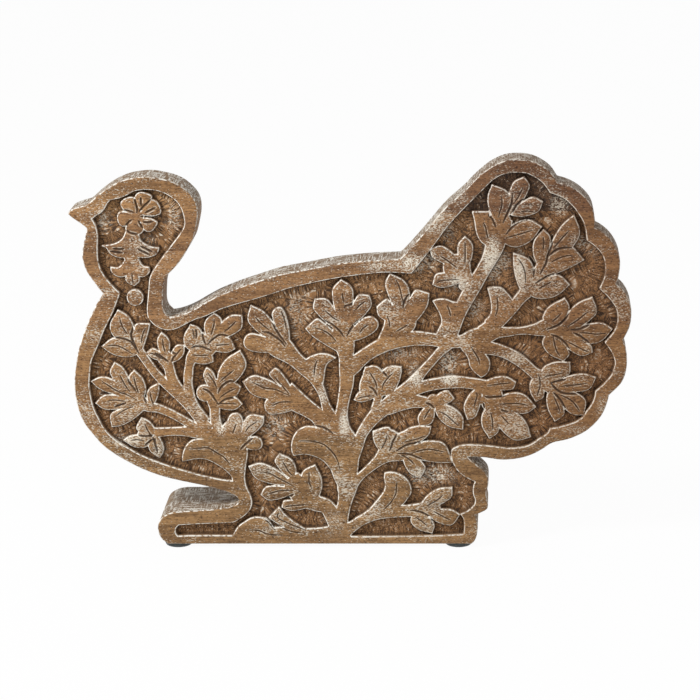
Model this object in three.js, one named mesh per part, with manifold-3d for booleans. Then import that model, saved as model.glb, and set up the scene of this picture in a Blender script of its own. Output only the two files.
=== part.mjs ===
// A carved wooden turkey that stands on a shelf: a flat panel of edge-glued boards with a leafy vine
// in low relief, a deeper base glued behind its foot, and four rubber bumpers.
// Millimetres, +Z up, the carved face towards -Y.
import * as THREE from "three";
import { mergeVertices } from "three/addons/utils/BufferGeometryUtils.js";
import Module from "manifold-3d";

// Driving dimensions
const WIDTH = 356; // beak tip to the roundest tail scallop
const HEIGHT = 256; // shelf to the top of the tail
const PANEL_DEPTH = 25; // thickness of the turkey panel
const BASE_DEPTH = 57; // front to back of the foot, panel and block together
const RELIEF_DEPTH = 5; // from the leaves and the border down to the carved ground
const GLUE_LINE = 0.2; // gap left between glued pieces
const BUMPER_DIAMETER = 18;
const BUMPER_SOLE_DIAMETER = 13; // the flat of the bumper that meets the shelf
const BUMPER_HEIGHT = 3;
const BUMPER_END_INSET = 12.5; // bumper centre to the end of the base
const BUMPER_EDGE_INSET = 9.5; // bumper centre to the front or back of the base
const OVERRUN = 1; // how far a cut runs past what it cuts

// Thousandths: places on the panel are shares of WIDTH from the beak tip, and of HEIGHT from the shelf.
const WHOLE_SHARE = 1000;
const undersideShare = 12; // height of the wood's underside
const seamShares = [296, 582, 868]; // heights of the glue lines between the boards
const baseEndShares = [142, 724]; // left and right ends of the foot

const frontY = -BASE_DEPTH / 2;
const panelBackY = frontY + PANEL_DEPTH;
const baseBackY = frontY + BASE_DEPTH;
const clearY = frontY - OVERRUN; // where the cuts from the front start

function acrossAt(share) {
  return (share / WHOLE_SHARE - 1 / 2) * WIDTH;
}

function upAt(share) {
  const rise = (share - undersideShare) / (WHOLE_SHARE - undersideShare);
  return BUMPER_HEIGHT + rise * (HEIGHT - BUMPER_HEIGHT);
}

function lengthOf(share) {
  return (share / WHOLE_SHARE) * WIDTH;
}

function at(acrossShare, upShare) {
  return new THREE.Vector2(acrossAt(acrossShare), upAt(upShare));
}

// Outer edge of the panel, clockwise from the beak tip. Each row is one smooth stretch.
const edgeShares = [
  [[0, 864], [3, 871], [13, 878], [24, 883], [35, 887]], // top of the beak
  [[35, 887], [46, 901], [57, 914], [71, 928], [86, 940], [104, 950], [123, 955], [143, 957], [163, 953],
    [183, 946], [200, 935], [214, 919], [224, 902], [229, 884], [230, 864], [228, 842], [221, 802],
    [213, 782], [204, 761], [194, 741], [181, 721], [171, 706], [166, 688], [164, 668], [163, 632],
    [167, 614], [175, 602]], // crown and nape
  [[175, 602], [190, 606], [206, 614], [222, 625], [240, 640], [260, 655], [280, 667], [300, 678],
    [330, 692], [370, 710], [410, 721], [450, 732], [480, 739], [520, 745], [555, 748],
      [587, 750]], // back
  [[587, 750], [596, 762], [606, 777], [618, 796], [640, 832], [660, 866], [675, 888], [690, 906],
    [705, 925], [717, 943], [730, 960], [745, 977], [760, 989], [778, 998], [798, 1000], [815, 998],
    [829, 992], [841, 983], [851, 973], [859, 961], [867, 943]], // first feather, the tail's leading edge
  [[867, 943], [880, 938], [892, 931], [904, 921], [914, 909], [923, 895], [929, 879], [932, 862],
    [934, 845], [933, 829]], // second feather
  [[933, 829], [943, 822], [953, 812], [961, 801], [968, 788], [974, 772], [978, 755], [979, 738],
    [978, 720], [976, 702], [972, 686]], // third feather
  [[972, 686], [981, 677], [989, 664], [995, 648], [999, 630], [1000, 610], [999, 592], [996, 574],
    [991, 559], [985, 543]], // fourth feather
  [[985, 543], [989, 530], [992, 512], [993, 492], [992, 470], [989, 452], [984, 436], [976, 422],
    [968, 411], [961, 402]], // fifth feather
  [[961, 402], [959, 388], [955, 370], [949, 352], [941, 336], [930, 320], [918, 307], [905, 297],
    [891, 289], [878, 284], [866, 281]], // sixth feather
  [[866, 281], [855, 275], [843, 263], [828, 251], [812, 242], [797, 237], [780, 234], [765, 234],
    [750, 237], [735, 240], [706, 241]], // underside of the tail
  [[706, 241], [716, 228], [727, 215], [736, 204], [742, 192], [744, 176], [743, 163], [740, 148],
    [741, 132], [743, 116], [741, 104], [732, 96], [719, 88]], // back of the leg
  [[719, 88], [722, 76], [724, 62], [724, 48], [722, 32], [718, 19], [713, 12]], // right end of the base
  [[713, 12], [160, 12]], // underside
  [[160, 12], [152, 20], [146, 30], [143, 42], [142, 54], [144, 68], [149, 80], [157, 88], [167, 94],
    [180, 97], [200, 99], [225, 101], [250, 104], [268, 108], [282, 114], [290, 121], [291, 128],
    [287, 136], [277, 145], [262, 153], [247, 159], [218, 169], [182, 180], [150, 192], [117, 210],
    [90, 230], [67, 250], [47, 272], [31, 299], [14, 333], [4, 375], [0, 427], [5, 485],
    [12, 528], [22, 568], [35, 608], [46, 638], [58, 662]], // foot, slit under the belly, and breast
  [[58, 662], [52, 672], [44, 688], [36, 704], [30, 718], [26, 732], [23, 750], [23, 765], [26, 790],
    [30, 810], [33, 827]], // throat
  [[33, 827], [26, 836], [16, 846], [7, 855], [0, 864]], // underside of the beak
];

// Inner edge of the border, which is the outer edge of the carved ground, clockwise from behind the beak.
const groundShares = [
  [[42, 852], [51, 861], [59, 868], [65, 878], [69, 888], [75, 899]],
  [[75, 899], [92, 904], [106, 912], [116, 920], [128, 924], [143, 925], [160, 922], [175, 914],
    [188, 902], [197, 888], [203, 870], [206, 850], [206, 836], [201, 820], [192, 803], [182, 785],
    [172, 767], [162, 748], [152, 729], [145, 713], [141, 698], [139, 675], [137, 650], [135, 625],
    [136, 604], [141, 592], [148, 582], [158, 574], [168, 570], [180, 571], [192, 577], [207, 588],
    [222, 598], [238, 605], [255, 616], [270, 625], [300, 638], [330, 650], [360, 663], [390, 677],
    [420, 687], [460, 699], [500, 708], [540, 715], [570, 717], [607, 714]],
  [[607, 714], [616, 729], [635, 763], [650, 790], [670, 829], [690, 861], [710, 890], [730, 918],
    [750, 946], [757, 953], [767, 961], [780, 966], [795, 968], [812, 966], [822, 960], [832, 952],
    [841, 942], [848, 930], [854, 917]],
  [[854, 917], [863, 913], [872, 908], [881, 901], [890, 890], [898, 878], [905, 864], [911, 851],
    [915, 838], [918, 820], [920, 797]],
  [[920, 797], [929, 789], [938, 778], [946, 765], [951, 750], [953, 735], [953, 715], [950, 697],
    [943, 676]],
  [[943, 676], [950, 666], [958, 655], [966, 641], [972, 628], [975, 614], [976, 600], [975, 585],
    [971, 570], [964, 555], [953, 538]],
  [[953, 538], [960, 525], [966, 512], [970, 498], [972, 485], [970, 470], [966, 455], [958, 440],
    [948, 425], [937, 412]],
  [[937, 412], [936, 400], [933, 386], [928, 373], [921, 360], [915, 346], [905, 335], [894, 328],
    [882, 323], [870, 318], [855, 315]],
  [[855, 315], [852, 305], [845, 296], [836, 289], [829, 281], [820, 273], [810, 268], [798, 265],
    [785, 264], [770, 265], [745, 270], [715, 273], [700, 272], [688, 268], [679, 261], [677, 250],
    [678, 235], [682, 220], [687, 208], [695, 196], [706, 186], [720, 176]],
  [[720, 176], [717, 165], [716, 152], [717, 140], [720, 129], [719, 118], [714, 108], [705, 98],
    [693, 90]],
  [[693, 90], [698, 80], [700, 68], [700, 54], [699, 37]],
  [[699, 37], [640, 33], [500, 31], [235, 34], [178, 32]],
  [[178, 32], [174, 40], [174, 52], [180, 62]],
  [[180, 62], [215, 65], [250, 67], [278, 69], [290, 77], [301, 88], [309, 100], [313, 112], [314, 125],
    [312, 138], [308, 152], [304, 166], [302, 185]],
  [[302, 185], [284, 178]],
  [[284, 178], [262, 181], [235, 189], [205, 200], [175, 213], [145, 228], [115, 246], [92, 265],
    [73, 282], [59, 300], [48, 321], [40, 345], [33, 368], [29, 392], [26, 425]],
  [[26, 425], [28, 460], [31, 487], [37, 508], [46, 535], [54, 562], [63, 588], [72, 612], [79, 635],
    [87, 664]],
  [[87, 664], [77, 678], [63, 702], [54, 725], [50, 750], [50, 780], [51, 810], [48, 834], [42, 852]],
];

// Leaves, each as its tip, its widest place on one side and on the other, and its root in the stem.
const leafShares = [
  // ornament in the head
  [113, 681, 98, 698, 123, 699, 110, 722],
  // breast, top spray
  [82, 621, 69, 562, 107, 588, 108, 535], [50, 526, 85, 549, 88, 500, 120, 512],
  [139, 585, 112, 580, 132, 550, 122, 512],
  // breast, bud under the neck
  [159, 563, 151, 535, 173, 535, 163, 498], [132, 511, 145, 521, 143, 495, 166, 490],
  [199, 529, 183, 526, 194, 500, 172, 485],
  // breast, spray under the back
  [211, 584, 200, 530, 231, 563, 228, 512], [254, 613, 236, 580, 267, 590, 248, 540],
  [304, 606, 277, 600, 298, 567, 246, 545], [290, 520, 275, 550, 268, 511, 232, 528],
  [251, 487, 245, 508, 225, 482, 203, 500],
  // breast, middle spray
  [73, 486, 66, 452, 92, 462, 105, 402], [29, 437, 60, 446, 55, 410, 118, 390],
  [36, 380, 60, 402, 60, 363, 120, 382], [108, 466, 98, 440, 127, 425, 118, 385],
  [64, 318, 66, 355, 95, 331, 130, 375], [151, 432, 130, 407, 149, 400, 138, 372],
  // breast, spray that climbs beside the trunk
  [299, 517, 262, 470, 307, 468, 262, 415], [299, 422, 280, 434, 284, 395, 252, 398],
  [301, 378, 281, 397, 280, 362, 245, 380], [238, 473, 233, 445, 252, 452, 254, 405],
  // breast, lowest spray and the bud on the left trunk
  [118, 342, 110, 310, 137, 325, 142, 298], [84, 283, 105, 297, 118, 264, 140, 290],
  [149, 237, 129, 267, 156, 268, 142, 300], [339, 345, 309, 344, 333, 318, 300, 285],
  // body, left of the trunk
  [320, 632, 318, 583, 353, 600, 372, 540], [302, 435, 330, 450, 330, 396, 390, 398],
  [309, 215, 340, 220, 330, 178, 388, 170], [366, 248, 358, 225, 392, 222, 390, 180],
  [330, 141, 345, 163, 350, 126, 395, 152], [430, 219, 405, 192, 441, 158, 418, 112],
  [368, 107, 374, 125, 392, 99, 430, 118], [363, 108, 343, 80, 383, 76, 430, 35],
  // body, crown of the trunk
  [482, 698, 466, 660, 503, 665, 487, 570], [435, 648, 434, 618, 460, 642, 485, 560],
  [417, 572, 440, 597, 437, 545, 495, 498], [532, 657, 510, 654, 533, 625, 492, 575],
  // body, under the back
  [569, 713, 562, 675, 602, 675, 592, 600], [545, 628, 565, 647, 552, 600, 580, 590],
  [639, 662, 612, 667, 629, 615, 585, 555],
  // body, small three-leaf spray
  [523, 474, 521, 447, 548, 468, 543, 410], [588, 474, 562, 469, 583, 445, 548, 408],
  [502, 388, 515, 410, 520, 384, 546, 402],
  // body, right of the trunk
  [620, 321, 619, 350, 643, 332, 642, 378], [698, 311, 692, 355, 660, 333, 648, 380],
  [535, 307, 566, 315, 542, 266, 562, 245], [641, 320, 592, 307, 630, 289, 580, 255],
  [679, 225, 655, 280, 628, 230, 585, 250], [620, 184, 628, 218, 597, 206, 590, 250],
  [678, 160, 640, 146, 672, 128, 618, 100], [692, 88, 670, 102, 672, 60, 630, 95],
  [641, 38, 604, 65, 643, 68, 612, 101],
  // tail, small spray at the leading edge
  [641, 776, 668, 778, 649, 750, 698, 728], [703, 807, 690, 775, 717, 778, 703, 720],
  [645, 684, 655, 713, 668, 678, 705, 700],
  // tail, top spray
  [751, 937, 745, 882, 784, 905, 768, 830], [808, 956, 786, 933, 817, 928, 782, 860],
  [841, 894, 818, 903, 828, 865, 785, 860], [840, 831, 805, 847, 800, 781, 765, 800],
  // tail, upper spray
  [789, 765, 795, 695, 824, 732, 812, 655], [843, 824, 824, 780, 855, 797, 840, 722],
  [897, 861, 866, 815, 903, 798, 843, 730], [915, 747, 885, 783, 868, 714, 832, 698],
  [890, 684, 862, 709, 848, 649, 808, 668],
  // tail, middle spray
  [881, 651, 842, 603, 888, 618, 862, 568], [930, 653, 893, 623, 935, 606, 868, 560],
  [967, 571, 938, 587, 932, 534, 875, 560], [931, 511, 925, 532, 905, 505, 870, 552],
  [879, 488, 842, 530, 889, 512, 858, 570],
  // tail, lower spray
  [891, 486, 850, 479, 886, 452, 838, 450], [938, 447, 900, 454, 918, 412, 858, 425],
  [916, 349, 915, 395, 888, 358, 862, 415], [864, 332, 849, 385, 881, 358, 858, 420],
  [829, 384, 819, 428, 844, 400, 835, 455],
  // tail, lowest spray
  [794, 435, 765, 449, 785, 415, 730, 425], [830, 370, 795, 407, 803, 353, 752, 378],
  [821, 291, 799, 350, 783, 290, 748, 372], [746, 287, 732, 345, 764, 316, 757, 378],
  [706, 337, 703, 385, 722, 348, 733, 425],
];

// Leaves with a shape of their own, drawn round from one side of the stem to the other
const curlShares = [
  [[[104, 832], [101, 818], [97, 806], [91, 796], [82, 789], [70, 785], [57, 783]],
    [[57, 783], [66, 777], [69, 768], [74, 761], [81, 756], [89, 753], [98, 752]],
    [[98, 752], [124, 754]],
    [[124, 754], [134, 753], [144, 755], [152, 760], [157, 768], [159, 778]],
    [[159, 778], [149, 779], [140, 783], [133, 788], [127, 796], [122, 805], [119, 815]],
    [[119, 815], [104, 832]]], // anchor-shaped pair of leaves in the head
  [[[262, 292], [235, 288], [220, 287], [208, 283], [199, 272], [193, 257], [190, 241], [190, 228]],
    [[190, 228], [210, 234], [228, 235], [244, 227], [262, 211], [275, 194], [284, 178],
      [294, 165]]], // left trunk
  [[[430, 455], [413, 486], [420, 496], [430, 503], [443, 508], [457, 506], [471, 497]],
    [[471, 497], [462, 490], [455, 482], [451, 468], [449, 448], [446, 425]]],
  [[[475, 300], [440, 314], [427, 319], [414, 319], [402, 311], [393, 296], [388, 275], [388, 257],
    [391, 243]],
    [[391, 243], [411, 247], [430, 241], [446, 228], [460, 203], [469, 176], [472, 145],
      [490, 140]]], // beside the trunk
  [[[365, 24], [352, 55], [341, 75], [327, 81], [312, 79], [299, 68], [288, 56], [278, 33]],
    [[278, 33], [278, 24]]],
  [[[490, 50], [500, 76], [512, 86], [524, 98], [533, 111], [541, 125], [549, 139], [555, 153],
    [557, 168],
    [555, 183], [556, 198]],
    [[556, 198], [568, 200], [580, 196], [591, 187], [599, 175], [603, 160], [603, 145], [597, 131],
      [588, 115],
      [560, 85]]], // right of the trunk's foot
  [[[553, 463], [545, 474], [533, 476], [524, 464], [515, 440], [512, 415], [518, 402]],
    [[518, 402], [545, 398], [572, 402]],
    [[572, 402], [580, 425], [586, 448], [584, 466], [574, 474], [562, 472], [553, 463]]],
  [[[582, 300], [572, 309], [558, 314]],
    [[558, 314], [556, 285], [562, 256]],
    [[562, 256], [582, 250], [602, 262]],
    [[602, 262], [612, 285], [606, 306]],
    [[606, 306], [592, 307], [582, 300]]], // joins of two sprays in the body
  [[[645, 545], [656, 572], [661, 592], [656, 615], [645, 643]],
    [[645, 643], [657, 648], [670, 647], [681, 641], [697, 640]],
    [[697, 640], [692, 548]]],
  [[[690, 540], [697, 518], [704, 506], [709, 492], [711, 477], [718, 462], [731, 447]],
    [[731, 447], [739, 453], [745, 465], [747, 480], [745, 495], [737, 512], [738, 535]]],
  [[[758, 575], [738, 590], [746, 604], [750, 622], [748, 650], [743, 676]],
    [[743, 676], [757, 678], [769, 675], [779, 661], [787, 647], [795, 625]]],
  [[[756, 775], [737, 787], [728, 801], [723, 820], [720, 847], [716, 869]],
    [[716, 869], [732, 869], [750, 869]]], // tail, beside its top spray
];

// Petals, lobes and buds with round tips, written as the leaves are.
const lobeShares = [
  // flower in the head
  [104, 903, 94, 883, 121, 898, 116, 862], [134, 917, 119, 904, 149, 905, 126, 868],
  [162, 884, 146, 897, 161, 862, 128, 864], [152, 827, 157, 843, 136, 821, 128, 852],
  [117, 811, 101, 828, 133, 827, 120, 850], [87, 850, 94, 869, 98, 832, 120, 855],
  // lobes under it
  [71, 720, 84, 731, 84, 704, 106, 722], [145, 722, 130, 737, 130, 706, 108, 722],
  // breast
  [219, 406, 234, 427, 234, 385, 252, 405], [288, 354, 273, 325, 301, 328, 287, 280],
  [335, 273, 322, 293, 322, 258, 298, 272],
  // body
  [371, 627, 358, 603, 385, 590, 386, 525], [306, 540, 325, 559, 322, 514, 380, 520],
  [361, 470, 351, 452, 377, 450, 392, 412], [341, 371, 353, 394, 356, 351, 410, 378],
  [545, 593, 518, 596, 538, 562, 492, 540], [673, 410, 652, 401, 682, 390, 640, 372],
];

// Stems, each a row of places along it with the stem's width there.
const stemShares = [
  [[112, 822, 20], [111, 800, 30], [110, 775, 40], [109, 750, 24], [108, 735, 22],
    [110, 715, 26]], // head
  [[293, 160, 18], [290, 190, 24], [288, 222, 34], [284, 250, 50], [272, 285, 58],
    [256, 310, 46]], // breast
  [[114, 526, 18], [122, 507, 15], [135, 480, 15], [147, 456, 15], [164, 430, 16], [182, 406, 17],
    [200, 379, 16],
    [216, 350, 16],
    [240, 310, 24]],
  [[165, 492, 22], [171, 470, 18], [175, 445, 19], [184, 422, 18], [202, 385, 20]],
  [[235, 530, 30], [214, 500, 22], [208, 480, 15], [205, 455, 16], [204, 430, 15], [207, 400, 16],
    [214, 370, 18],
    [232, 330, 22]],
  [[245, 550, 30], [230, 522, 36]],
  [[112, 395, 20], [128, 374, 20], [150, 366, 15], [172, 353, 14], [192, 337, 14], [212, 320, 16],
    [240, 300, 20]],
  [[140, 303, 18], [165, 306, 15], [190, 307, 16], [215, 305, 22], [250, 298, 24]],
  [[254, 420, 20], [250, 395, 28], [251, 365, 18], [251, 340, 18], [255, 315, 18], [262, 290, 20]],
  [[470, 20, 50], [471, 60, 34], [479, 100, 24], [484, 130, 26], [488, 165, 36], [484, 200, 46],
    [481, 240, 58],
    [478, 275, 60], [474, 310, 46], [478, 345, 24], [481, 370, 20], [485, 400, 21], [489, 430, 24],
    [490, 470, 27], [489, 500, 26], [487, 530, 34], [487, 575, 30]], // trunk
  [[350, 538, 34], [372, 524, 42], [396, 495, 28], [415, 470, 26], [430, 446, 20], [441, 418, 15],
    [447, 395, 13],
    [452, 370, 16], [462, 335, 26]],
  [[377, 405, 48], [399, 384, 38], [421, 363, 30], [438, 345, 30], [458, 316, 44]],
  [[385, 188, 30], [395, 165, 42], [410, 138, 44], [430, 119, 30], [450, 108, 27], [464, 75, 30],
    [472, 45, 30]],
  [[335, 30, 30], [380, 32, 34], [410, 32, 28], [440, 34, 28], [475, 36, 40]],
  [[492, 462, 26], [503, 480, 30], [514, 493, 26], [530, 510, 24], [555, 529, 26], [580, 541, 27],
    [610, 547, 26], [640, 545, 23],
    [665, 539, 22], [692, 542, 22]],
  [[592, 612, 46], [583, 586, 50], [572, 562, 38], [556, 535, 24]],
  [[498, 235, 22], [507, 268, 20], [515, 298, 19], [527, 325, 21], [542, 350, 25], [562, 374, 27],
    [585, 400, 27],
    [605, 425, 24], [622, 455, 17], [640, 484, 15], [655, 508, 15], [672, 532, 20]],
  [[548, 412, 16], [545, 390, 13], [540, 362, 16]],
  [[600, 412, 26], [630, 424, 21], [655, 431, 21], [680, 435, 22], [705, 433, 20], [728, 427, 22],
    [748, 412, 34],
    [754, 390, 34]],
  [[560, 362, 20], [585, 379, 26], [606, 386, 26], [620, 384, 22], [635, 380, 20], [650, 372, 20]],
  [[672, 538, 22], [695, 539, 22], [718, 547, 32], [740, 556, 32], [760, 563, 22], [780, 564, 16],
    [805, 567, 13],
    [830, 570, 22], [852, 574, 34], [875, 562, 34]],
  [[735, 560, 30], [755, 583, 26], [772, 605, 24], [788, 627, 20], [803, 652, 20], [818, 675, 26],
    [832, 702, 28],
    [842, 730, 24], [850, 755, 20]],
  [[675, 540, 20], [684, 580, 22], [693, 615, 24], [706, 650, 25], [720, 685, 26], [734, 718, 24],
    [746, 748, 26],
    [755, 778, 32], [760, 805, 36], [766, 830, 36], [775, 855, 28]],
  [[700, 738, 24], [700, 712, 28], [708, 690, 26]],
  [[738, 525, 26], [758, 519, 22], [778, 509, 21], [797, 494, 21], [813, 476, 20], [827, 458, 20],
    [843, 442, 30],
    [862, 425, 34]],
  [[492, 163, 26], [510, 187, 14], [527, 208, 14], [545, 230, 20], [562, 250, 34], [582, 258, 40]],
  [[476, 42, 36], [495, 56, 20], [515, 74, 18], [540, 89, 20], [570, 97, 23], [600, 98, 22],
    [625, 101, 26]],
];

// Round places: the boss under the head's ornament, then the heart of each spray. Middle and radius.
const roundShares = [
  [114, 652, 14.5], [121, 857, 13], [121, 872, 7],
  [112, 530, 12], [164, 497, 14], [100, 399, 22], [238, 528, 20], [257, 415, 20], [124, 296, 14],
  [296, 288, 14],
    [366, 542, 22],
  [380, 402, 19], [395, 160, 22], [487, 562, 22], [593, 588, 22], [578, 624, 8], [548, 415, 10],
  [738, 527, 14],
    [645, 385, 12],
  [582, 254, 18], [632, 98, 12], [645, 102, 12], [688, 728, 24], [700, 681, 8], [764, 838, 22],
  [832, 692, 20], [870, 558, 22],
    [862, 430, 20],
  [751, 398, 18], [748, 380, 16], [733, 388, 8],
];

// Section of the base block behind the foot, clockwise from its underside at the left.
const blockShares = [
  [[160, 12], [152, 20], [146, 30], [143, 42], [142, 54], [144, 68], [149, 80], [157, 88], [167, 94],
    [180, 97]],
  [[180, 97], [704, 97]],
  [[704, 97], [714, 93], [720, 84], [724, 62], [724, 48], [722, 32], [718, 19], [713, 12]],
  [[713, 12], [160, 12]],
];

const outlineStepsPerPlace = 2;

// Points along smooth stretches that meet at corners
function outlinePoints(stretchShares) {
  const points = [];
  for (const stretch of stretchShares) {
    const curve = new THREE.SplineCurve(stretch.map(([across, up]) => at(across, up)));
    points.push(...curve.getPoints((stretch.length - 1) * outlineStepsPerPlace));
  }
  return points.filter((point, place) => !point.equals(points[(place + 1) % points.length]));
}

// How far the handles of a leaf's edge reach, as shares of the leaf
const tipHandleShare = 0.25;
const roundHandleShare = 0.6;
const sideHandleShare = 0.6;
const leafSteps = 4;

// One edge of a leaf, from its tip round its widest place to its root
function leafEdge(tip, side, root, isRound) {
  const axis = root.clone().sub(tip).normalize();
  const outward = side.clone().sub(tip);
  const along = outward.dot(axis);
  const spread = outward.clone().addScaledVector(axis, -along);
  const tipHandle = isRound
    ? tip.clone().addScaledVector(spread, roundHandleShare)
    : tip.clone().lerp(side, tipHandleShare);
  const sideHandle = side.clone().addScaledVector(axis, -along * sideHandleShare);
  const remaining = root.distanceTo(tip) - along;
  const lowerHandle = side.clone().addScaledVector(axis, remaining * sideHandleShare);
  const rootHandle = root.clone().lerp(lowerHandle, tipHandleShare);
  const upper = new THREE.CubicBezierCurve(tip, tipHandle, sideHandle, side).getPoints(leafSteps);
  const lower = new THREE.CubicBezierCurve(side, lowerHandle, rootHandle, root).getPoints(leafSteps);
  return [...upper, ...lower.slice(1)];
}

function leafPoints(shares, isRound) {
  const [tip, left, right, root] = [at(shares[0], shares[1]), at(shares[2], shares[3]),
    at(shares[4], shares[5]), at(shares[6], shares[7])];
  const oneEdge = leafEdge(tip, left, root, isRound);
  const otherEdge = leafEdge(tip, right, root, isRound);
  return [...oneEdge, ...otherEdge.slice(1, -1).reverse()];
}

const stemStepsPerPlace = 3;

// A stem's outline: a smooth middle line with the width laid off on both sides
function stemPoints(rows) {
  const middle = new THREE.SplineCurve(rows.map(([across, up]) => at(across, up)));
  const halfWidths = new THREE.SplineCurve(
    rows.map(([, , width], row) => new THREE.Vector2(row, lengthOf(width) / 2)));
  const steps = (rows.length - 1) * stemStepsPerPlace;
  const left = [];
  const right = [];
  for (let step = 0; step <= steps; step += 1) {
    const t = step / steps;
    const tangent = middle.getTangent(t);
    const sideways = new THREE.Vector2(-tangent.y, tangent.x).multiplyScalar(halfWidths.getPoint(t).y);
    const place = middle.getPoint(t);
    left.push(place.clone().add(sideways));
    right.push(place.clone().sub(sideways));
  }
  return [...left, ...right.reverse()];
}

const roundSteps = 6;

function roundPoints([across, up, radiusShare]) {
  const middle = at(across, up);
  const round = new THREE.Path();
  round.absarc(middle.x, middle.y, lengthOf(radiusShare), 0, 2 * Math.PI);
  return round.getPoints(roundSteps).slice(1);
}

const wasm = await Module();
wasm.setup();

function solidOf(geometry) {
  geometry.deleteAttribute("normal");
  geometry.deleteAttribute("uv");
  const merged = mergeVertices(geometry);
  return new wasm.Manifold(new wasm.Mesh({
    numProp: 3,
    vertProperties: merged.attributes.position.array,
    triVerts: new Uint32Array(merged.index.array),
  }));
}

function geometryOf(solid) {
  const mesh = solid.getMesh();
  const geometry = new THREE.BufferGeometry();
  geometry.setAttribute("position", new THREE.BufferAttribute(mesh.vertProperties, 3));
  geometry.setIndex(new THREE.BufferAttribute(mesh.triVerts, 1));
  geometry.computeVertexNormals();
  return geometry;
}

// An upright outline seen from the front, with its thickness between two depths
function slab(points, nearY, farY) {
  const shape = new THREE.Shape(points);
  const geometry = new THREE.ExtrudeGeometry(shape, { depth: farY - nearY, bevelEnabled: false });
  geometry.rotateX(Math.PI / 2);
  geometry.translate(0, farY, 0);
  return solidOf(geometry);
}

function joined(solids) {
  return solids.reduce((whole, solid) => whole.add(solid));
}

// Everything that stands up from the carved ground
function vine() {
  const nearY = clearY - OVERRUN;
  const farY = frontY + RELIEF_DEPTH + OVERRUN;
  const outlines = [
    ...leafShares.map((shares) => leafPoints(shares, false)),
    ...lobeShares.map((shares) => leafPoints(shares, true)),
    ...stemShares.map(stemPoints),
    ...curlShares.map(outlinePoints),
    ...roundShares.map(roundPoints),
  ];
  return joined(outlines.map((points) => slab(points, nearY, farY)));
}

function carvedPanel() {
  const panel = slab(outlinePoints(edgeShares), frontY, panelBackY);
  const ground = slab(outlinePoints(groundShares), clearY, frontY + RELIEF_DEPTH);
  return panel.subtract(ground.subtract(vine()));
}

// The part of a solid between two heights and two places across
function bandOf(solid, lowZ, highZ, leftX, rightX) {
  const box = new THREE.BoxGeometry(rightX - leftX, BASE_DEPTH + 2 * OVERRUN, highZ - lowZ);
  box.translate((leftX + rightX) / 2, 0, (lowZ + highZ) / 2);
  return solid.intersect(solidOf(box));
}

const wood = { roughness: 0.75, metalness: 0 };
const rubber = { color: 0x1b2424, roughness: 0.5, metalness: 0 };
const group = new THREE.Group();

function addPiece(name, geometry, material) {
  const mesh = new THREE.Mesh(geometry, new THREE.MeshStandardMaterial(material));
  mesh.name = name;
  group.add(mesh);
  return mesh;
}

// Boards, glued edge to edge, bottom to top. The topmost are two short ones, for the head and the tail.
function addBoards() {
  const panel = carvedPanel();
  const seams = seamShares.map(upAt);
  const half = GLUE_LINE / 2;
  const left = -WIDTH / 2 - OVERRUN;
  const right = WIDTH / 2 + OVERRUN;
  const top = HEIGHT + OVERRUN;
  const bands = [
    ["lower_board", 0, seams[0] - half, left, right, 0x8a6a48],
    ["middle_board", seams[0] + half, seams[1] - half, left, right, 0x946f48],
    ["upper_board", seams[1] + half, seams[2] - half, left, right, 0x8f6a45],
    ["head_board", seams[2] + half, top, left, 0, 0x8c6a44],
    ["tail_board", seams[2] + half, top, 0, right, 0x7b573d],
  ];
  for (const [name, lowZ, highZ, leftX, rightX, color] of bands) {
    addPiece(name, geometryOf(bandOf(panel, lowZ, highZ, leftX, rightX)), { color, ...wood });
  }
}

function addBaseBlock() {
  const block = slab(outlinePoints(blockShares), panelBackY + GLUE_LINE, baseBackY);
  addPiece("base_block", geometryOf(block), { color: 0x7d6650, ...wood });
}

const bumperFlankSteps = 6;
const bumperSides = 32;

// Half section of a bumper: a flat sole, a round flank and a flat top that sticks to the wood
function bumperGeometry() {
  const radius = BUMPER_DIAMETER / 2;
  const soleRadius = BUMPER_SOLE_DIAMETER / 2;
  const topZ = BUMPER_HEIGHT - GLUE_LINE;
  const profile = new THREE.Path();
  profile.moveTo(0, 0);
  profile.lineTo(soleRadius, 0);
  profile.quadraticCurveTo(radius, 0, radius, topZ);
  profile.lineTo(0, topZ);
  const geometry = new THREE.LatheGeometry(profile.getPoints(bumperFlankSteps), bumperSides);
  geometry.rotateX(Math.PI / 2);
  return geometryOf(solidOf(geometry));
}

function addBumpers() {
  const [leftEnd, rightEnd] = baseEndShares.map(acrossAt);
  const sides = { left: leftEnd + BUMPER_END_INSET, right: rightEnd - BUMPER_END_INSET };
  const rows = { front: frontY + BUMPER_EDGE_INSET, rear: baseBackY - BUMPER_EDGE_INSET };
  for (const [row, y] of Object.entries(rows)) {
    for (const [side, x] of Object.entries(sides)) {
      const bumper = addPiece(`bumper_${row}_${side}`, bumperGeometry(), rubber);
      bumper.position.set(x, y, 0);
    }
  }
}

addBoards();
addBaseBlock();
addBumpers();

export default group;
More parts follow.
